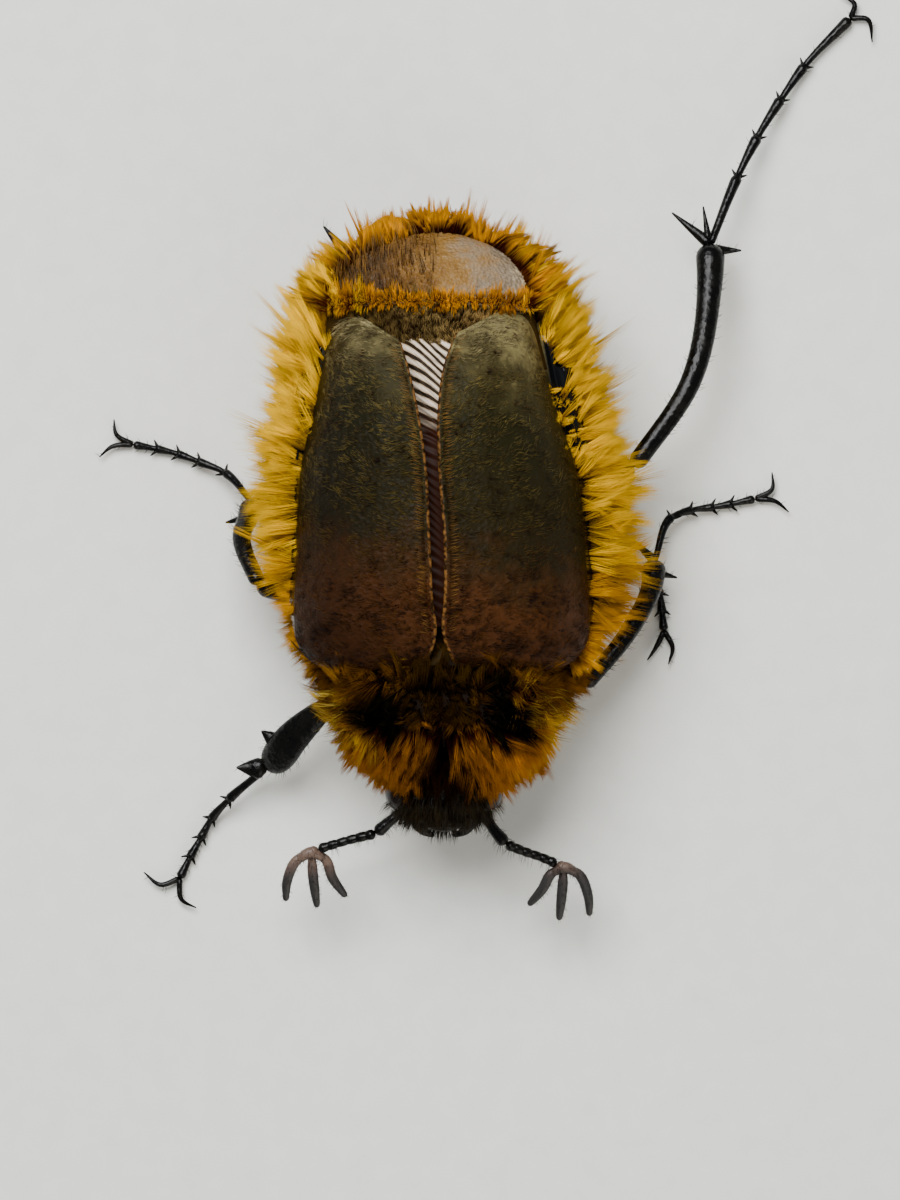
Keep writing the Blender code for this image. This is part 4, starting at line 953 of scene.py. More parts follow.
FLANKS = [("coat_left_front", 1.0, -3.75, 0.0, 14000), ("coat_left_middle", 1.0, 0.0, 3.4, 14000),
          ("coat_left_rear", 1.0, 3.4, 6.6, 14000), ("coat_right_front", -1.0, -3.75, 0.0, 14000),
          ("coat_right_middle", -1.0, 0.0, 3.4, 14000), ("coat_right_rear", -1.0, 3.4, 6.6, 14000)]
for number, (name, side, front, back, count) in enumerate(FLANKS):
    random = np.random.default_rng(21 + number)
    grown = roots_on(trunk, count, flank_chance(side, front, back), random)
    hair(name, grown, flank_tips(grown, random), COAT_WIDTH, COAT, "coat", random, rise=0.15, **TUFTED)

random = np.random.default_rng(28)
grown = roots_on(trunk, 2400, lambda p, n: (p[:, 0] > 0.0) * (p[:, 1] > 0.9) * (p[:, 1] < 3.1) * (p[:, 2] > 2.45)
                 * (p[:, 2] < 3.1), random)
tips = grown[0] + np.column_stack([random.uniform(-0.1, 0.6, 2400), random.uniform(0.0, 0.4, 2400),
                                   random.uniform(0.8, 1.25, 2400)])
hair("coat_left_crest", grown, tips, COAT_WIDTH, COAT, "coat", random, rise=0.2, **TUFTED)

# %% [markdown]
# The hair round the pygidium is orange. One fringe stands on the shield's rim and points to the rear, a
# row of shorter hair lies over its front edge, and single hairs lie on its right half, as in the
# photograph. A dark, short pile covers the plate before it.

# %% Hair of the rear


def rim_chance(points, normals):
    """The rim of the pygidium at its sides and rear."""
    x, y, _ = points.T
    edge = np.abs(x - smooth(TAIL_BEND, y)) / smooth(PYGIDIUM_HALF, y + 0.1)
    return (normals[:, 2] > -0.2) * np.clip(np.maximum((edge - 0.93) * 12.0, (y - 6.68) * 8.0), 0.0, 1.0)


random = np.random.default_rng(31)
grown = roots_on(pygidium, 5200, rim_chance, random)
aside = (grown[0][:, 0] - smooth(TAIL_BEND, grown[0][:, 1])) * 0.75
heading = unit(np.stack([aside, np.full(5200, 1.0)], axis=1) + random.normal(0.0, 0.14, (5200, 2)))
reach = np.clip(reach_to(COAT_OUTLINE, grown[0], heading) * random.uniform(0.75, 1.05, 5200), 0.2, 1.2)
tips = grown[0] + np.column_stack([heading * reach[:, None], random.uniform(-0.1, 0.3, 5200)])
hair("coat_pygidium_rim", grown, tips, COAT_WIDTH, COAT, "coat", random, **TUFTED)

random = np.random.default_rng(32)
grown = roots_on(pygidium, 4200, lambda p, n: (n[:, 2] > 0.3) * (p[:, 1] < 5.14), random)
side_share = np.clip((np.abs(grown[0][:, 0] + 0.2) - 0.6) / 1.2, 0.0, 1.0)
reach = random.uniform(0.2, 0.42, 4200) * (1.0 + np.where(grown[0][:, 0] < 0.0, 0.9, 0.5) * side_share)
reach = np.where(random.random(4200) < 0.45, random.uniform(-0.34, -0.12, 4200), reach)
tips = grown[0] + np.column_stack([grown[0][:, 0] * 0.04 + random.normal(0.0, 0.07, 4200), reach,
                                   random.uniform(0.0, 0.2, 4200)])
hair("coat_pygidium_front", grown, tips, 0.011, COAT, "coat", random, hold=0.5, tuft=9, drift=0.12)

random = np.random.default_rng(33)
grown = roots_on(pygidium, 420, lambda p, n: (n[:, 2] > 0.3) * np.clip((0.1 - p[:, 0]) * 0.9, 0.0, 1.0), random)
tips = grown[0] + np.column_stack([random.normal(0.0, 0.06, 420), random.uniform(0.35, 0.7, 420),
                                   random.uniform(-0.25, 0.0, 420)])
hair("hair_on_pygidium", grown, tips, 0.008, COMB_HAIR, "pygidium", random)

random = np.random.default_rng(34)
grown = roots_on(back_plate, 4200, lambda p, n: (n[:, 2] > 0.1) * (p[:, 1] > 3.9) * (np.abs(p[:, 0] + 0.25) < 1.9),
                 random)
tips = grown[0] + np.column_stack([grown[0][:, 0] * 0.05 + random.normal(0.0, 0.08, 4200),
                                   random.uniform(0.15, 0.35, 4200), random.uniform(0.08, 0.22, 4200)])
hair("hair_before_pygidium", grown, tips, 0.01, BAND_HAIR, "pygidium", random, drift=0.2)

# %% [markdown]
# On the pronotum the hair points forward and fans out to the sides. It is longest in front, where it
# hangs over the head like a fringe. A few long pale hairs stand out at each side.

# %% Hair of the pronotum and the underside
PRONOTUM_OUTLINE = [(-6.8, 0.6), (-6.5, 1.5), (-6.0, 2.2), (-5.4, 2.75), (-4.8, 3.15), (-4.2, 3.45), (-3.4, 3.8),
                    (-2.4, 4.2)]


def pronotum_chance(points, normals):
    """The pronotum's back and sides."""
    _, y, z = points.T
    return (y < -3.5) * (y > -6.0) * (z > 2.2) * (normals[:, 2] > -0.5) * np.where(y < -4.6, 1.3, 0.8)


def pronotum_tips(grown, random):
    """Tips for hair that leans forward over the head and fans out to the sides."""
    roots, normals, _ = grown
    size = len(roots)
    short = roots[:, 1] > -4.8
    heading = np.stack([roots[:, 0] * 0.42, np.where(short, -0.4, -1.0)], axis=1)
    heading = unit(heading + random.normal(0.0, 1.0, (size, 2)) * np.where(short, 0.5, 0.2)[:, None])
    reach = np.where(short & (np.abs(roots[:, 0]) < 1.4), 0.5, 1.15) * random.uniform(0.65, 1.1, size)
    reach = np.maximum(np.minimum(reach, reach_to(PRONOTUM_OUTLINE, roots, heading)), 0.25)
    rise = 0.3 * normals[:, 2] - 0.35 * (roots[:, 1] < -5.2) + random.normal(0.0, 0.1, size)
    return roots + np.column_stack([heading * reach[:, None], rise * reach])


for number, (name, side) in enumerate((("coat_pronotum_left", 1.0), ("coat_pronotum_right", -1.0))):
    random = np.random.default_rng(41 + number)
    grown = roots_on(trunk, 9500, lambda p, n: pronotum_chance(p, n) * (p[:, 0] * side > 0.0), random)
    hair(name, grown, pronotum_tips(grown, random), COAT_WIDTH, COAT, "coat", random, **TUFTED)

random = np.random.default_rng(45)
grown = roots_on(trunk, 3600, lambda p, n: (p[:, 1] > -4.15) * (p[:, 1] < -3.4) * (p[:, 2] > 3.7) * (n[:, 2] > -0.2),
                 random)
x = grown[0][:, 0] * random.uniform(0.85, 1.5, 3600) + random.normal(0.0, 0.25, 3600)
y = -3.55 + random.gamma(2.0, 0.18, 3600)
tips = np.stack([x, y, np.maximum(case_level(x, y) + random.uniform(0.05, 0.2, 3600), 3.6)], axis=1)
hair("coat_hind_margin", grown, tips, 0.009, COAT, "coat", random, **TUFTED)

random = np.random.default_rng(43)


def collar_chance(points, normals):
    """The two shoulders of the pronotum."""
    x, y, z = points.T
    return (np.abs(x) > 1.7) * (y > -5.0) * (y < -3.8) * (z > 3.0) * (z < 4.9)


grown = roots_on(trunk, 110, collar_chance, random)
out = np.sign(grown[0][:, 0])
heading = unit(np.stack([out * random.uniform(0.7, 1.2, 110), random.uniform(-0.9, 0.3, 110)], axis=1))
reach = random.uniform(0.8, 1.7, 110)
tips = grown[0] + np.column_stack([heading * reach[:, None], random.uniform(-0.3, 0.35, 110)])
hair("coat_collar_strands", grown, tips, 0.009, PALE_HAIR, "coat", random, hold=0.8, tuft=5, drift=0.12)

random = np.random.default_rng(44)
grown = roots_on(trunk, 9000, lambda p, n: (n[:, 2] < -0.15) * (p[:, 2] < 2.3) * (p[:, 1] < 6.3), random)
tips = grown[0] + grown[1] * random.uniform(0.15, 0.4, 9000)[:, None]
tips += np.column_stack([random.normal(0.0, 0.1, (9000, 1)), random.uniform(0.15, 0.5, (9000, 1)),
                         random.normal(0.0, 0.05, (9000, 1))])
hair("coat_underside", grown, tips, COAT_WIDTH, COAT, "coat", random, **TUFTED)

# %% [markdown]
# The head is a flattened wedge that slopes down to a squarish shield, the clypeus, with an upturned rim.
# Two bulging eyes sit at its sides behind small ridges. Below the shield are the lip, the jaws and two
# pairs of short jointed palps.

# %% Leg and head cuticle
BLACK_CUTICLE, tree, shader = new_material("glossy_black_leg_cuticle")
place = beetle_place(tree).outputs["Vector"]
cloud = add_node(tree, "ShaderNodeTexNoise", {"Vector": place, "Scale": 2.5, "Detail": 4.0}).outputs["Fac"]
tone = add_node(tree, "ShaderNodeValToRGB", {"Fac": cloud}, stops=[(0.35, "#040404"), (0.7, "#0C0B08")])
tree.links.new(tone.outputs["Color"], shader.inputs["Base Color"])
# Coarse pits hold the bristles, about 0.12 mm apart, over a fine leathery grain of 0.03 mm.
pits = add_node(tree, "ShaderNodeTexVoronoi", {"Vector": place, "Scale": 8.0}).outputs["Distance"]
grain = add_node(tree, "ShaderNodeTexNoise", {"Vector": place, "Scale": 32.0, "Detail": 2.0}).outputs["Fac"]
relief = add_node(tree, "ShaderNodeMath", {0: grain, 1: 0.35, 2: pits}, operation="MULTIPLY_ADD").outputs[0]
bump = add_node(tree, "ShaderNodeBump", {"Height": relief, "Strength": 0.5, "Distance": 0.00002})
tree.links.new(bump.outputs["Normal"], shader.inputs["Normal"])
rough = add_node(tree, "ShaderNodeMapRange", {"Value": cloud, "From Min": 0.3, "From Max": 0.7,
                                              "To Min": 0.16, "To Max": 0.3}).outputs["Result"]
tree.links.new(rough, shader.inputs["Roughness"])
shader.inputs["Specular IOR Level"].default_value = 0.16

EYE, tree, shader = new_material("faceted_eye_lens")
place = beetle_place(tree).outputs["Vector"]
# The facets are drawn 0.04 mm wide, twice their real width, so that they still show.
facets = add_node(tree, "ShaderNodeTexVoronoi", {"Vector": place, "Scale": 25.0, "Randomness": 0.25}).outputs["Distance"]
tone = add_node(tree, "ShaderNodeValToRGB", {"Fac": facets}, stops=[(0.0, "#2B1A12"), (0.6, "#090706")])
tree.links.new(tone.outputs["Color"], shader.inputs["Base Color"])
bump = add_node(tree, "ShaderNodeBump", {"Height": facets, "Strength": 0.5, "Distance": 0.00001}, invert=True)
tree.links.new(bump.outputs["Normal"], shader.inputs["Normal"])
shader.inputs["Roughness"].default_value = 0.16
shader.inputs["Specular IOR Level"].default_value = 0.25

CLAW, tree, shader = new_material("brown_claw_cuticle")
place = beetle_place(tree).outputs["Vector"]
cloud = add_node(tree, "ShaderNodeTexNoise", {"Vector": place, "Scale": 5.0, "Detail": 3.0}).outputs["Fac"]
tone = add_node(tree, "ShaderNodeValToRGB", {"Fac": cloud}, stops=[(0.35, "#1A100A"), (0.7, "#4A3020")])
tree.links.new(tone.outputs["Color"], shader.inputs["Base Color"])
bump = add_node(tree, "ShaderNodeBump", {"Height": cloud, "Strength": 0.4, "Distance": 0.00002})
tree.links.new(bump.outputs["Normal"], shader.inputs["Normal"])
shader.inputs["Roughness"].default_value = 0.28

CLUB, tree, shader = new_material("velvety_club_cuticle")
place = beetle_place(tree).outputs["Vector"]
cloud = add_node(tree, "ShaderNodeTexNoise", {"Vector": place, "Scale": 3.0, "Detail": 4.0}).outputs["Fac"]
split = add_node(tree, "ShaderNodeSeparateXYZ", {"Vector": place})
back = add_node(tree, "ShaderNodeMath", {0: cloud, 1: 0.5, 2: split.outputs["Y"]}, operation="MULTIPLY_ADD").outputs[0]
share = add_node(tree, "ShaderNodeMapRange", {"Value": back, "From Min": -8.5, "From Max": -7.75}).outputs["Result"]
tone = add_node(tree, "ShaderNodeValToRGB", {"Fac": share}, stops=[
    (0.0, "#100D0C"), (0.45, "#181311"), (0.8, "#3E2E26"), (1.0, "#5A463A")])
tree.links.new(tone.outputs["Color"], shader.inputs["Base Color"])
# Sense pits cover the leaves, drawn 0.05 mm apart so that they show.
pits = add_node(tree, "ShaderNodeTexVoronoi", {"Vector": place, "Scale": 20.0}).outputs["Distance"]
bump = add_node(tree, "ShaderNodeBump", {"Height": pits, "Strength": 0.5, "Distance": 0.00001})
tree.links.new(bump.outputs["Normal"], shader.inputs["Normal"])
shader.inputs["Roughness"].default_value = 0.5
shader.inputs["Sheen Weight"].default_value = 0.08

# %% A rounded limb along a path


def limb(path, radii, segments=14, rings=26, flat=1.0, profile=None):
    """A closed limb along a smooth path, with a rounded end at each pole of its sphere."""
    path = np.array(path, float)
    steps = np.concatenate([[0.0], np.cumsum(np.linalg.norm(np.diff(path, axis=0), axis=1))])
    total = steps[-1]

    def place(turn, share):
        along = (1.0 - np.cos(math.pi * share)) / 2.0 * total if rings < 40 else share * total
        core = np.stack([smooth(list(zip(steps, path[:, k])), along) for k in range(3)], axis=1)
        ahead = np.stack([smooth(list(zip(steps, path[:, k])), np.minimum(along + 0.02, total)) for k in range(3)], axis=1)
        behind = np.stack([smooth(list(zip(steps, path[:, k])), np.maximum(along - 0.02, 0.0)) for k in range(3)], axis=1)
        heading = unit(ahead - behind)
        side = unit(np.cross(heading, np.array([0.0, 0.0, 1.0])))
        lift = np.cross(side, heading)
        radius = smooth(list(zip(np.linspace(0.0, total, len(radii)), radii)), along)
        if profile:
            radius = radius * profile(along / total)
        dome = np.minimum(np.minimum(along, total - along) / np.maximum(radius, 1e-3), 1.0)
        radius = radius * np.sqrt(np.clip(1.0 - (1.0 - dome) ** 2, 0.0, 1.0))
        return core + (side * np.cos(turn)[:, None] + lift * np.sin(turn)[:, None] * flat) * radius[:, None]

    piece = ball(segments, rings, place)
    face_out(piece)
    return piece


# %% The head
HEAD = [(-5.95, 3.15, 0.6, 0.6), (-6.15, 3.14, 0.82, 0.8), (-6.4, 3.05, 0.98, 0.85), (-6.7, 2.85, 0.98, 0.74),
        (-6.95, 2.62, 0.88, 0.52), (-7.1, 2.48, 0.74, 0.36)]
EYE_CENTRE = (1.08, -6.42, 3.2)
EYE_RADII = (0.3, 0.36, 0.42)


def head_place(turn, share):
    """Lays the sphere as a wedge from the neck down to the clypeus."""
    pole = np.cos(math.pi * share)
    y = -6.52 + 0.6 * pole
    z, half, rise = (smooth([(row[0], row[k]) for row in reversed(HEAD)], y) for k in (1, 2, 3))
    scale = np.sqrt(np.clip(1.0 - np.abs(pole) ** 12, 0.0, 1.0))
    sine, cosine = np.sin(turn), np.cos(turn)
    x = half * np.sign(sine) * np.abs(sine) ** 0.8
    lift = rise * np.sign(cosine) * np.abs(cosine) ** 0.85
    brow = 0.05 * np.exp(-((y + 6.62) / 0.08) ** 2) * (cosine > 0.5)
    return np.stack([x * scale, y, z + lift * scale - brow * scale], axis=1)


def clypeus_place(across, along):
    """Lays the shield in front of the head, with rounded corners and an upturned rim."""
    x = across * 2.0 - 1.0
    corner = 1.0 - 0.24 * np.abs(x) ** 5
    y = -6.68 - 0.52 * along * corner
    half = 0.84 - 0.1 * along
    rim = 0.07 * np.exp(-((1.0 - along) / 0.09) ** 2) + 0.05 * np.exp(-((1.0 - np.abs(x)) / 0.08) ** 2) * along
    return np.stack([x * half, y, 3.46 - 0.55 * along - 0.12 * x ** 2 + rim], axis=1)


def eye_place(side):
    """Lays one bulging eye, its poles to the front and rear."""
    def place(turn, share):
        around = np.sin(math.pi * share)
        return np.stack([side * EYE_CENTRE[0] + EYE_RADII[0] * around * np.cos(turn),
                         EYE_CENTRE[1] + EYE_RADII[1] * np.cos(math.pi * share),
                         EYE_CENTRE[2] + EYE_RADII[2] * around * np.sin(turn)], axis=1)
    return place


head = ball(64, 48, head_place)
face_out(head)
clypeus = plate(40, 24, clypeus_place)
thicken(clypeus, 0.09, (0.0, 0.0, 1.0))
lip = limb([(-0.42, -7.12, 2.42), (0.0, -7.18, 2.38), (0.42, -7.12, 2.42)], [0.1, 0.14, 0.1])
chin = limb([(0.0, -6.35, 2.15), (0.0, -6.75, 1.98), (0.0, -7.05, 2.02)], [0.42, 0.38, 0.24], segments=20)
ridges = [limb([(side * 0.72, -6.7, 3.36), (side * 1.02, -6.74, 3.24), (side * 1.3, -6.6, 3.12)], [0.09, 0.07, 0.045])
          for side in (1.0, -1.0)]
finish_piece(join([head, clypeus, lip, chin] + ridges), "head_capsule", BLACK_CUTICLE, "head", "head")
for name, side in (("left", 1.0), ("right", -1.0)):
    eye = ball(28, 18, eye_place(side))
    face_out(eye)
    finish_piece(eye, "eye_ball_" + name, EYE, "eye", "eye_" + name)
    jaw = limb([(side * 0.6, -6.7, 1.8), (side * 0.66, -7.0, 1.74), (side * 0.5, -7.28, 1.7), (side * 0.22, -7.42, 1.66)],
               [0.2, 0.17, 0.12, 0.05], flat=0.7)
    finish_piece(jaw, "jaw_" + name, BLACK_CUTICLE, "head", "mandible_" + name)
    outer = limb([(side * 0.5, -6.7, 1.9), (side * 0.72, -6.95, 1.6), (side * 0.62, -7.15, 1.25)], [0.055, 0.05, 0.065],
                 profile=lambda s: 0.8 + 0.2 * np.abs(np.sin(s * 3.0 * math.pi)), rings=46)
    inner = limb([(side * 0.22, -6.8, 1.85), (side * 0.3, -7.0, 1.55), (side * 0.24, -7.1, 1.35)], [0.04, 0.04, 0.05])
    finish_piece(join([outer, inner]), "palps_" + name, CLAW, "head")

# %% [markdown]
# Each feeler has a thick first joint, a chain of small beads, and a club of three leaves that spread
# like fingers. The leaves are flattened and carry a dense, fine velvet.

# %% The feelers
FEELERS = {
    "right": {"stem": [(-0.95, -6.8, 2.55), (-1.2, -7.0, 2.5), (-1.6, -7.35, 2.4)],
              "beads": [(-1.6, -7.35, 2.4), (-2.2, -7.5, 2.3), (-2.55, -7.6, 2.25), (-2.95, -7.72, 2.2)],
              "root": (-3.1, -7.8, 2.15),
              "leaves": [[(-3.45, -7.98, 2.1), (-3.68, -8.45, 2.0), (-3.72, -8.95, 1.85)],
                         [(-3.1, -8.0, 2.1), (-3.06, -8.5, 2.0), (-2.98, -9.1, 1.85)],
                         [(-2.8, -7.95, 2.1), (-2.62, -8.4, 2.0), (-2.3, -8.85, 1.85)]]},
    "left": {"stem": [(0.95, -6.85, 2.55), (1.1, -7.15, 2.5), (1.45, -7.6, 2.4)],
             "beads": [(1.45, -7.6, 2.4), (1.95, -7.8, 2.3), (2.25, -7.9, 2.25), (2.65, -8.07, 2.2)],
             "root": (2.8, -8.15, 2.15),
             "leaves": [[(3.15, -8.3, 2.1), (3.38, -8.8, 2.0), (3.42, -9.3, 1.85)],
                        [(2.8, -8.35, 2.1), (2.76, -8.85, 2.0), (2.7, -9.4, 1.85)],
                        [(2.52, -8.3, 2.1), (2.32, -8.65, 2.0), (1.98, -9.05, 1.85)]]},
}
BEADS = 6

for name, shape in FEELERS.items():
    scape = limb(shape["stem"], [0.1, 0.13, 0.17], rings=30)
    beads = limb(shape["beads"], [0.13, 0.115, 0.11, 0.125], rings=80,
                 profile=lambda s: 0.86 + 0.16 * np.abs(np.sin(s * BEADS * math.pi)) ** 0.8)
    stem = finish_piece(join([scape, beads]), "feeler_stem_" + name, BLACK_CUTICLE, "antenna", "antenna_stem_" + name)
    root = limb([shape["beads"][-1], shape["root"]], [0.12, 0.17], rings=20)
    bridge = limb([shape["leaves"][0][0], shape["root"], shape["leaves"][2][0]], [0.1, 0.14, 0.1], rings=24)
    leaves = [limb([shape["root"]] + leaf, [0.07, 0.12, 0.125, 0.11, 0.07], rings=36, flat=0.55)
              for leaf in shape["leaves"]]
    club = finish_piece(join([root, bridge] + leaves), "feeler_club_" + name, CLUB, "antenna_club",
                        "antenna_club_" + name)
    random = np.random.default_rng(51 if name == "left" else 52)
    for piece, count, length, slot in ((stem, 160, 0.22, "antenna"), (club, 500, 0.1, "antenna_club")):
        grown = roots_on(piece, count, lambda p, n: np.ones(len(p)), random)
        tips = grown[0] + (grown[1] * 0.7 + np.array([0.0, -0.5, 0.0])) * random.uniform(0.6, 1.2, (count, 1)) * length
        hair("hair_on_" + piece.name, grown, tips, 0.006, BLACK_HAIR, slot, random, hold=0.0, levels=(0.0, 0.5))

# %% [markdown]
# The head's hair is dark and short on the face and points forward. It is longer between the eyes, where
# it meets the fringe of the pronotum, and a brush of brown hair hangs from the chin.

# %% Hair of the head
random = np.random.default_rng(61)
face = bpy.data.objects["head_capsule"]
grown = roots_on(face, 3000, lambda p, n: (p[:, 2] > 2.3) * (p[:, 1] > -7.0) * (n[:, 2] > -0.4), random)
reach = np.where(grown[0][:, 1] > -6.5, 0.45, 0.26)[:, None] * random.uniform(0.6, 1.2, (3000, 1))
tips = grown[0] + (unit(np.column_stack([grown[0][:, 0] * 0.3, np.full(3000, -0.8), np.full(3000, 0.0)]))
                   + grown[1] * 0.6 + random.normal(0.0, 0.14, (3000, 3))) * reach
hair("hair_on_face", grown, tips, 0.009, DARK_HAIR, "head", random, hold=0.2, tuft=6, levels=(0.0, 0.5))
random = np.random.default_rng(62)
grown = roots_on(face, 2200, lambda p, n: (p[:, 2] < 2.5) * (p[:, 1] < -6.1) * (n[:, 2] < 0.3), random)
tips = grown[0] + (grown[1] * 0.5 + np.array([0.0, -0.4, -0.5])) * random.uniform(0.2, 0.45, (2200, 1))
hair("hair_under_head", grown, tips, 0.009, DARK_HAIR, "head", random, hold=0.3, tuft=8, levels=(0.0, 0.5))

# %% [markdown]
# A leg has a short hip, a stout thigh, a shin that widens towards its two spurs, and a foot of five small
# joints with a pair of claws. The middle lines are the solids' own. The thigh and shin have the solids'
# girth, while foot, spurs and claws are drawn at their real, finer size.

# %% The legs
LEGS = {
    "hind_left": {
        "femur": [(0.75, 0.25, 0.78), (2.2, 0.6, 1.35), (3.6, 1.0, 2.25), (4.45, 1.25, 2.6)],
        "tibia": [(5.81, 3.3, 2.3), (6.25, 5.62, 1.7), (6.27, 6.5, 1.45)],
        "spurs": [(5.36, 7.25, 1.3), (7.0, 6.35, 1.5)],
        "tarsus": [(6.93, 8.13, 0.95), (7.4, 9.06, 0.7), (7.96, 9.96, 0.45),
                   (8.52, 10.75, 0.3), (9.6, 11.87, 0.22)],
        "claws": [[(10.0, 11.85, 0.25), (10.12, 11.3, 0.24)], [(9.7, 12.2, 0.25), (9.3, 12.45, 0.24)]],
    },
    "hind_right": {
        "femur": [(-0.75, 0.25, 0.78), (-1.9, 0.7, 1.1), (-2.9, 1.3, 1.4), (-3.4, 1.75, 1.65)],
        "tibia": [(-3.15, 3.7, 1.3), (-2.6, 5.3, 0.95), (-2.3, 6.3, 0.8)],
        "spurs": [(-2.85, 6.95, 0.7), (-1.75, 5.7, 0.7)],
        "tarsus": [(-1.2, 7.1, 0.4), (-0.3, 6.75, 0.3), (0.5, 6.1, 0.25),
                   (1.1, 5.3, 0.22), (1.45, 4.3, 0.21)],
        "claws": [[(1.75, 3.8, 0.24), (1.75, 3.3, 0.24)], [(1.25, 3.75, 0.24), (0.95, 3.4, 0.24)]],
    },
    "mid_left": {
        "femur": [(0.8, -1.55, 0.72), (1.9, -2.5, 1.0), (2.9, -3.5, 1.85), (3.3, -3.9, 2.3)],
        "tibia": [(4.35, -2.6, 2.0), (4.9, -1.5, 1.4), (4.96, -0.95, 1.05)],
        "spurs": [(4.4, -0.4, 0.85), (5.5, -1.35, 1.05)],
        "tarsus": [(5.4, 0.1, 0.55), (5.85, 0.25, 0.35), (6.35, 0.32, 0.26),
                   (6.8, 0.4, 0.23), (7.35, 0.52, 0.21)],
        "claws": [[(7.75, 0.75, 0.24), (7.75, 1.15, 0.24)], [(7.85, 0.45, 0.24), (8.15, 0.2, 0.24)]],
    },
    "mid_right": {
        "femur": [(-0.8, -1.55, 0.72), (-2.2, -1.6, 1.05), (-3.5, -1.6, 2.2), (-4.35, -1.5, 2.95)],
        "tibia": [(-4.75, -0.4, 2.15), (-4.6, 0.1, 1.5), (-4.5, 0.4, 1.1)],
        "spurs": [(-3.95, 0.85, 0.95), (-5.15, -0.05, 1.35)],
        "tarsus": [(-5.2, 1.15, 0.5), (-5.81, 1.4, 0.32), (-6.3, 1.58, 0.25),
                   (-6.8, 1.7, 0.22), (-7.35, 1.8, 0.21)],
        "claws": [[(-7.75, 2.05, 0.24), (-7.8, 2.4, 0.24)], [(-7.85, 1.75, 0.24), (-8.15, 1.5, 0.24)]],
    },
    "fore_left": {
        "femur": [(0.7, -4.5, 0.78), (1.4, -4.45, 0.74), (2.1, -4.2, 0.62), (2.5, -3.9, 0.6)],
        "tibia": [(3.0, -2.9, 0.5), (3.45, -2.0, 0.47), (3.65, -1.65, 0.46)],
        "spurs": [(4.15, -2.2, 0.45), (3.3, -1.1, 0.45)],
        "tarsus": [(4.55, -1.1, 0.3), (4.95, -1.35, 0.23), (5.1, -1.75, 0.22),
                   (5.15, -2.15, 0.22), (5.2, -2.6, 0.21)],
        "claws": [[(5.4, -3.0, 0.24), (5.3, -3.4, 0.24)], [(5.0, -3.0, 0.24), (4.8, -3.3, 0.24)]],
    },
    "fore_right": {
        "femur": [(-0.7, -4.5, 0.78), (-1.5, -4.45, 1.15), (-2.2, -4.4, 1.75), (-2.75, -4.35, 2.2)],
        "tibia": [(-3.6, -5.15, 1.65), (-3.95, -5.6, 1.25), (-4.2, -5.85, 1.0)],
        "spurs": [(-4.9, -5.82, 1.0), (-4.3, -4.95, 1.5)],
        "tarsus": [(-5.1, -6.6, 0.5), (-5.5, -7.05, 0.3), (-5.75, -7.5, 0.24),
                   (-6.0, -7.95, 0.22), (-6.25, -8.45, 0.21)],
        "claws": [[(-6.7, -8.6, 0.24), (-7.1, -8.3, 0.24)], [(-6.2, -8.95, 0.24), (-5.85, -9.15, 0.24)]],
    },
}
THIGH_RADIUS = {"fore": 0.39, "mid": 0.39, "hind": 0.46}
SHIN_RADIUS = {"fore": 0.33, "mid": 0.22, "hind": 0.26}
SHIN_TAPER = {"fore": (0.7, 1.0, 1.2, 1.25, 0.9), "mid": (0.85, 0.9, 1.0, 1.1, 1.4), "hind": (0.85, 0.9, 1.0, 1.1, 1.4)}
SHIN_FLATNESS = {"fore": 0.5, "mid": 0.85, "hind": 0.85}
SPUR_RADIUS = {"fore": 0.33, "mid": 0.13, "hind": 0.16}
FOOT_RADIUS = {"fore": 0.12, "mid": 0.11, "hind": 0.135}
THIRD_SPUR = [(6.22, 6.6, 1.5), (6.1, 7.4, 1.3)]


def foot_joints(path):
    """A profile in which each joint of the foot is narrow at its root and flares to its end."""
    steps = np.cumsum([0.0] + [np.linalg.norm(np.subtract(b, a)) for a, b in zip(path, path[1:])])
    steps = steps / steps[-1]

    def profile(share):
        joint = np.clip(np.searchsorted(steps, share, side="right") - 1, 0, len(steps) - 2)
        within = (share - steps[joint]) / (steps[joint + 1] - steps[joint])
        pinch = np.clip((within - 0.93) / 0.07, 0.0, 1.0) * (joint < len(steps) - 2)
        return (0.62 + 0.46 * within ** 1.4) * (1.0 - 0.4 * pinch)
    return profile


def nearest_on(path, tip):
    """The point of a line that lies nearest to a tip, read at forty places."""
    path = np.array(path, float)
    spots = np.stack([np.interp(np.linspace(0.0, 1.0, 40), np.linspace(0.0, 1.0, len(path)), path[:, k])
                      for k in range(3)], axis=1)
    return spots[np.linalg.norm(spots - np.array(tip), axis=1).argmin()]


def foot_spikes(before, end):
    """Two small spikes that stand out at the end of one joint of the foot, above the ground."""
    ahead = unit(np.subtract(end, before)[None])[0]
    out = unit(np.cross(ahead, [0.0, 0.0, 1.0])[None])[0]
    root = np.array(end) - ahead * 0.06
    tips = [root + ahead * 0.16 + side * out * 0.2 + np.array([0.0, 0.0, 0.03]) for side in (1.0, -1.0)]
    return [limb([root, (root + tip) / 2.0, tip], [0.045, 0.035, 0.01], segments=8, rings=10) for tip in tips]


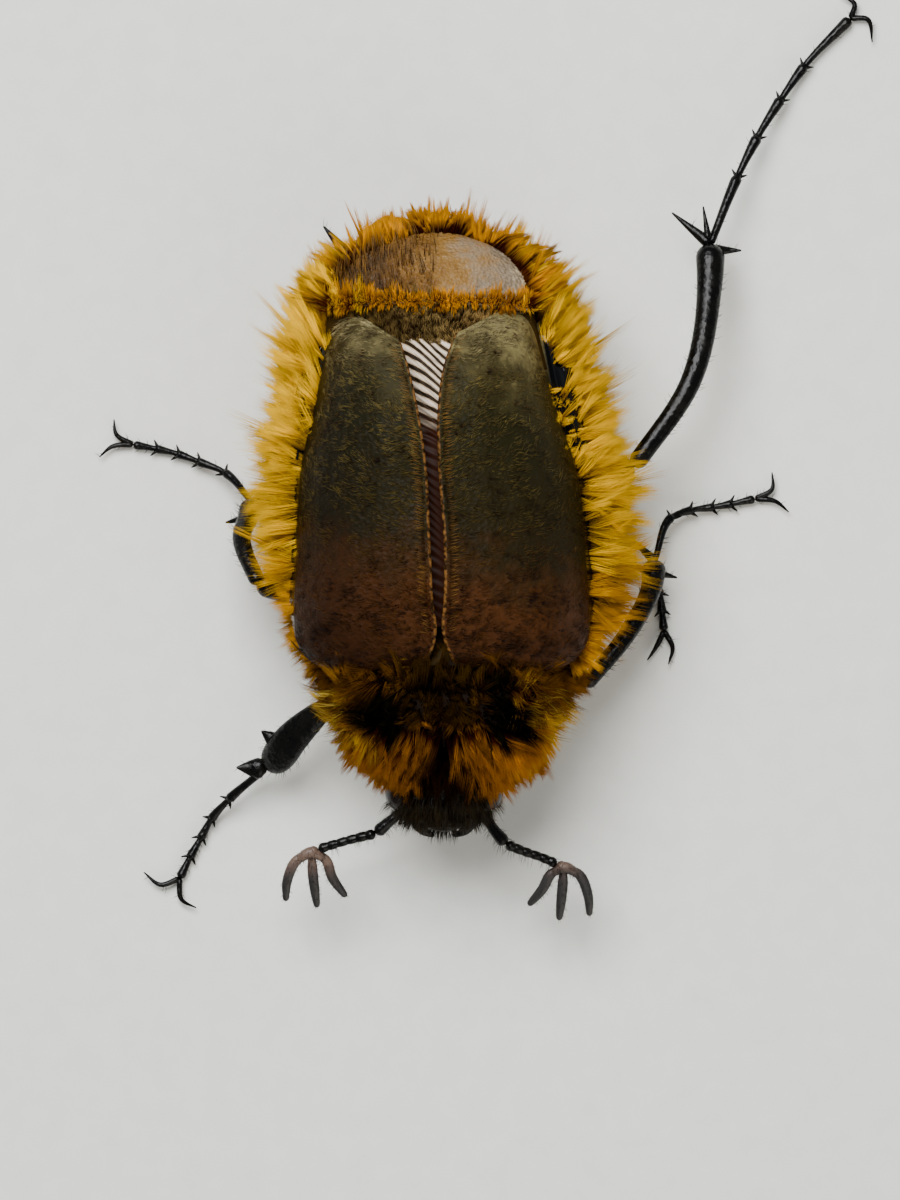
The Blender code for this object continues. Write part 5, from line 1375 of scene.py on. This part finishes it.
for leg, shape in LEGS.items():
    pair = leg.split("_")[0]
    femur, knee = shape["femur"], shape["femur"][-1]
    shin_path = [knee] + shape["tibia"]
    ankle = shape["tibia"][-1]
    foot_path = [ankle] + shape["tarsus"]
    thick, thin, fine = THIGH_RADIUS[pair], SHIN_RADIUS[pair], FOOT_RADIUS[pair]
    hip_top = (femur[0][0] * 0.75, femur[0][1], 1.75)
    hip = limb([hip_top, (femur[0][0], femur[0][1], femur[0][2] + 0.25), femur[0]], [0.42, 0.44, 0.3], segments=18)
    thigh = limb(femur, [thick * 0.9, thick * 1.08, thick, thick * 0.72], segments=20, rings=34, flat=0.85)
    finish_piece(join([thigh, hip]), "thigh_" + leg, BLACK_CUTICLE, "leg", leg + "_femur")
    shin = limb(shin_path, [thin * share for share in SHIN_TAPER[pair]], segments=18, rings=34,
                flat=SHIN_FLATNESS[pair])
    spurs = []
    for tip in shape["spurs"]:
        start = nearest_on(shin_path, tip)
        reach = np.array(tip) - start
        spurs.append(limb([start, start + reach * 0.55 + np.array([0.0, 0.0, -0.05]), tip],
                          [SPUR_RADIUS[pair], SPUR_RADIUS[pair] * 0.6, 0.02], segments=12, rings=20,
                          flat=SHIN_FLATNESS[pair]))
    if leg == "hind_left":
        spurs.append(limb(THIRD_SPUR, [0.1, 0.06, 0.02], segments=10, rings=16))
    finish_piece(join([shin] + spurs), "shin_" + leg, BLACK_CUTICLE, "leg", leg + "_tibia")
    foot = limb(foot_path, [fine * 1.15, fine, fine, fine * 0.95, fine * 0.95, fine], segments=14, rings=130,
                profile=foot_joints(foot_path))
    claws = []
    for root, tip in shape["claws"]:
        end = shape["tarsus"][-1]
        claws.append(limb([end, root, tip], [0.075, 0.06, 0.015], segments=10, rings=22))
    for before, end in zip(foot_path, foot_path[1:-1]):
        claws += foot_spikes(before, end)
    finish_piece(join([foot] + claws), "foot_" + leg, BLACK_CUTICLE, "leg", leg + "_tarsus")

# %% [markdown]
# Black bristles stand on every leg. They are stiffest and longest on the shin and at the joints of the
# foot, and point towards the claws.

# %% Bristles of the legs
BRISTLES = [("thigh", "femur", 190, 0.26, 0.006), ("shin", "tibia", 170, 0.2, 0.008), ("foot", "tarsus", 60, 0.17, 0.009)]

for number, (leg, shape) in enumerate(LEGS.items()):
    random = np.random.default_rng(71 + number)
    parts = []
    for row, (word, key, count, length, width) in enumerate(BRISTLES):
        path = np.array(shape[key] if key == "femur" else [shape["femur" if key == "tibia" else "tibia"][-1]] + shape[key])
        ahead = unit((path[-1] - path[0])[None])[0]
        piece = bpy.data.objects[word + "_" + leg]
        roots, normals, places = roots_on(piece, count, lambda p, n: (p[:, 2] > 0.12) * 1.0, random)
        places = places * np.array([1.0, 1.0 / 3.0]) + np.array([0.0, row / 3.0])
        lie = unit(normals * 0.75 + ahead * 0.7 + random.normal(0.0, 0.15, (count, 3)))
        tips = roots + lie * random.uniform(0.6, 1.3, (count, 1)) * length
        tips[:, 2] = np.maximum(tips[:, 2], 0.08)
        parts.append(hair("bristles_" + word + "_" + leg, (roots, normals, places), tips, width, BLACK_HAIR, "leg",
                          random, hold=0.0, rise=0.2, levels=(0.0, 0.5)))

# %% The size of the whole
triangles = sum(len(piece.data.polygons) * (1 if piece.data.polygons[0].loop_total == 3 else 2) for piece in PIECES)
print(len(PIECES), "pieces,", triangles, "triangles")
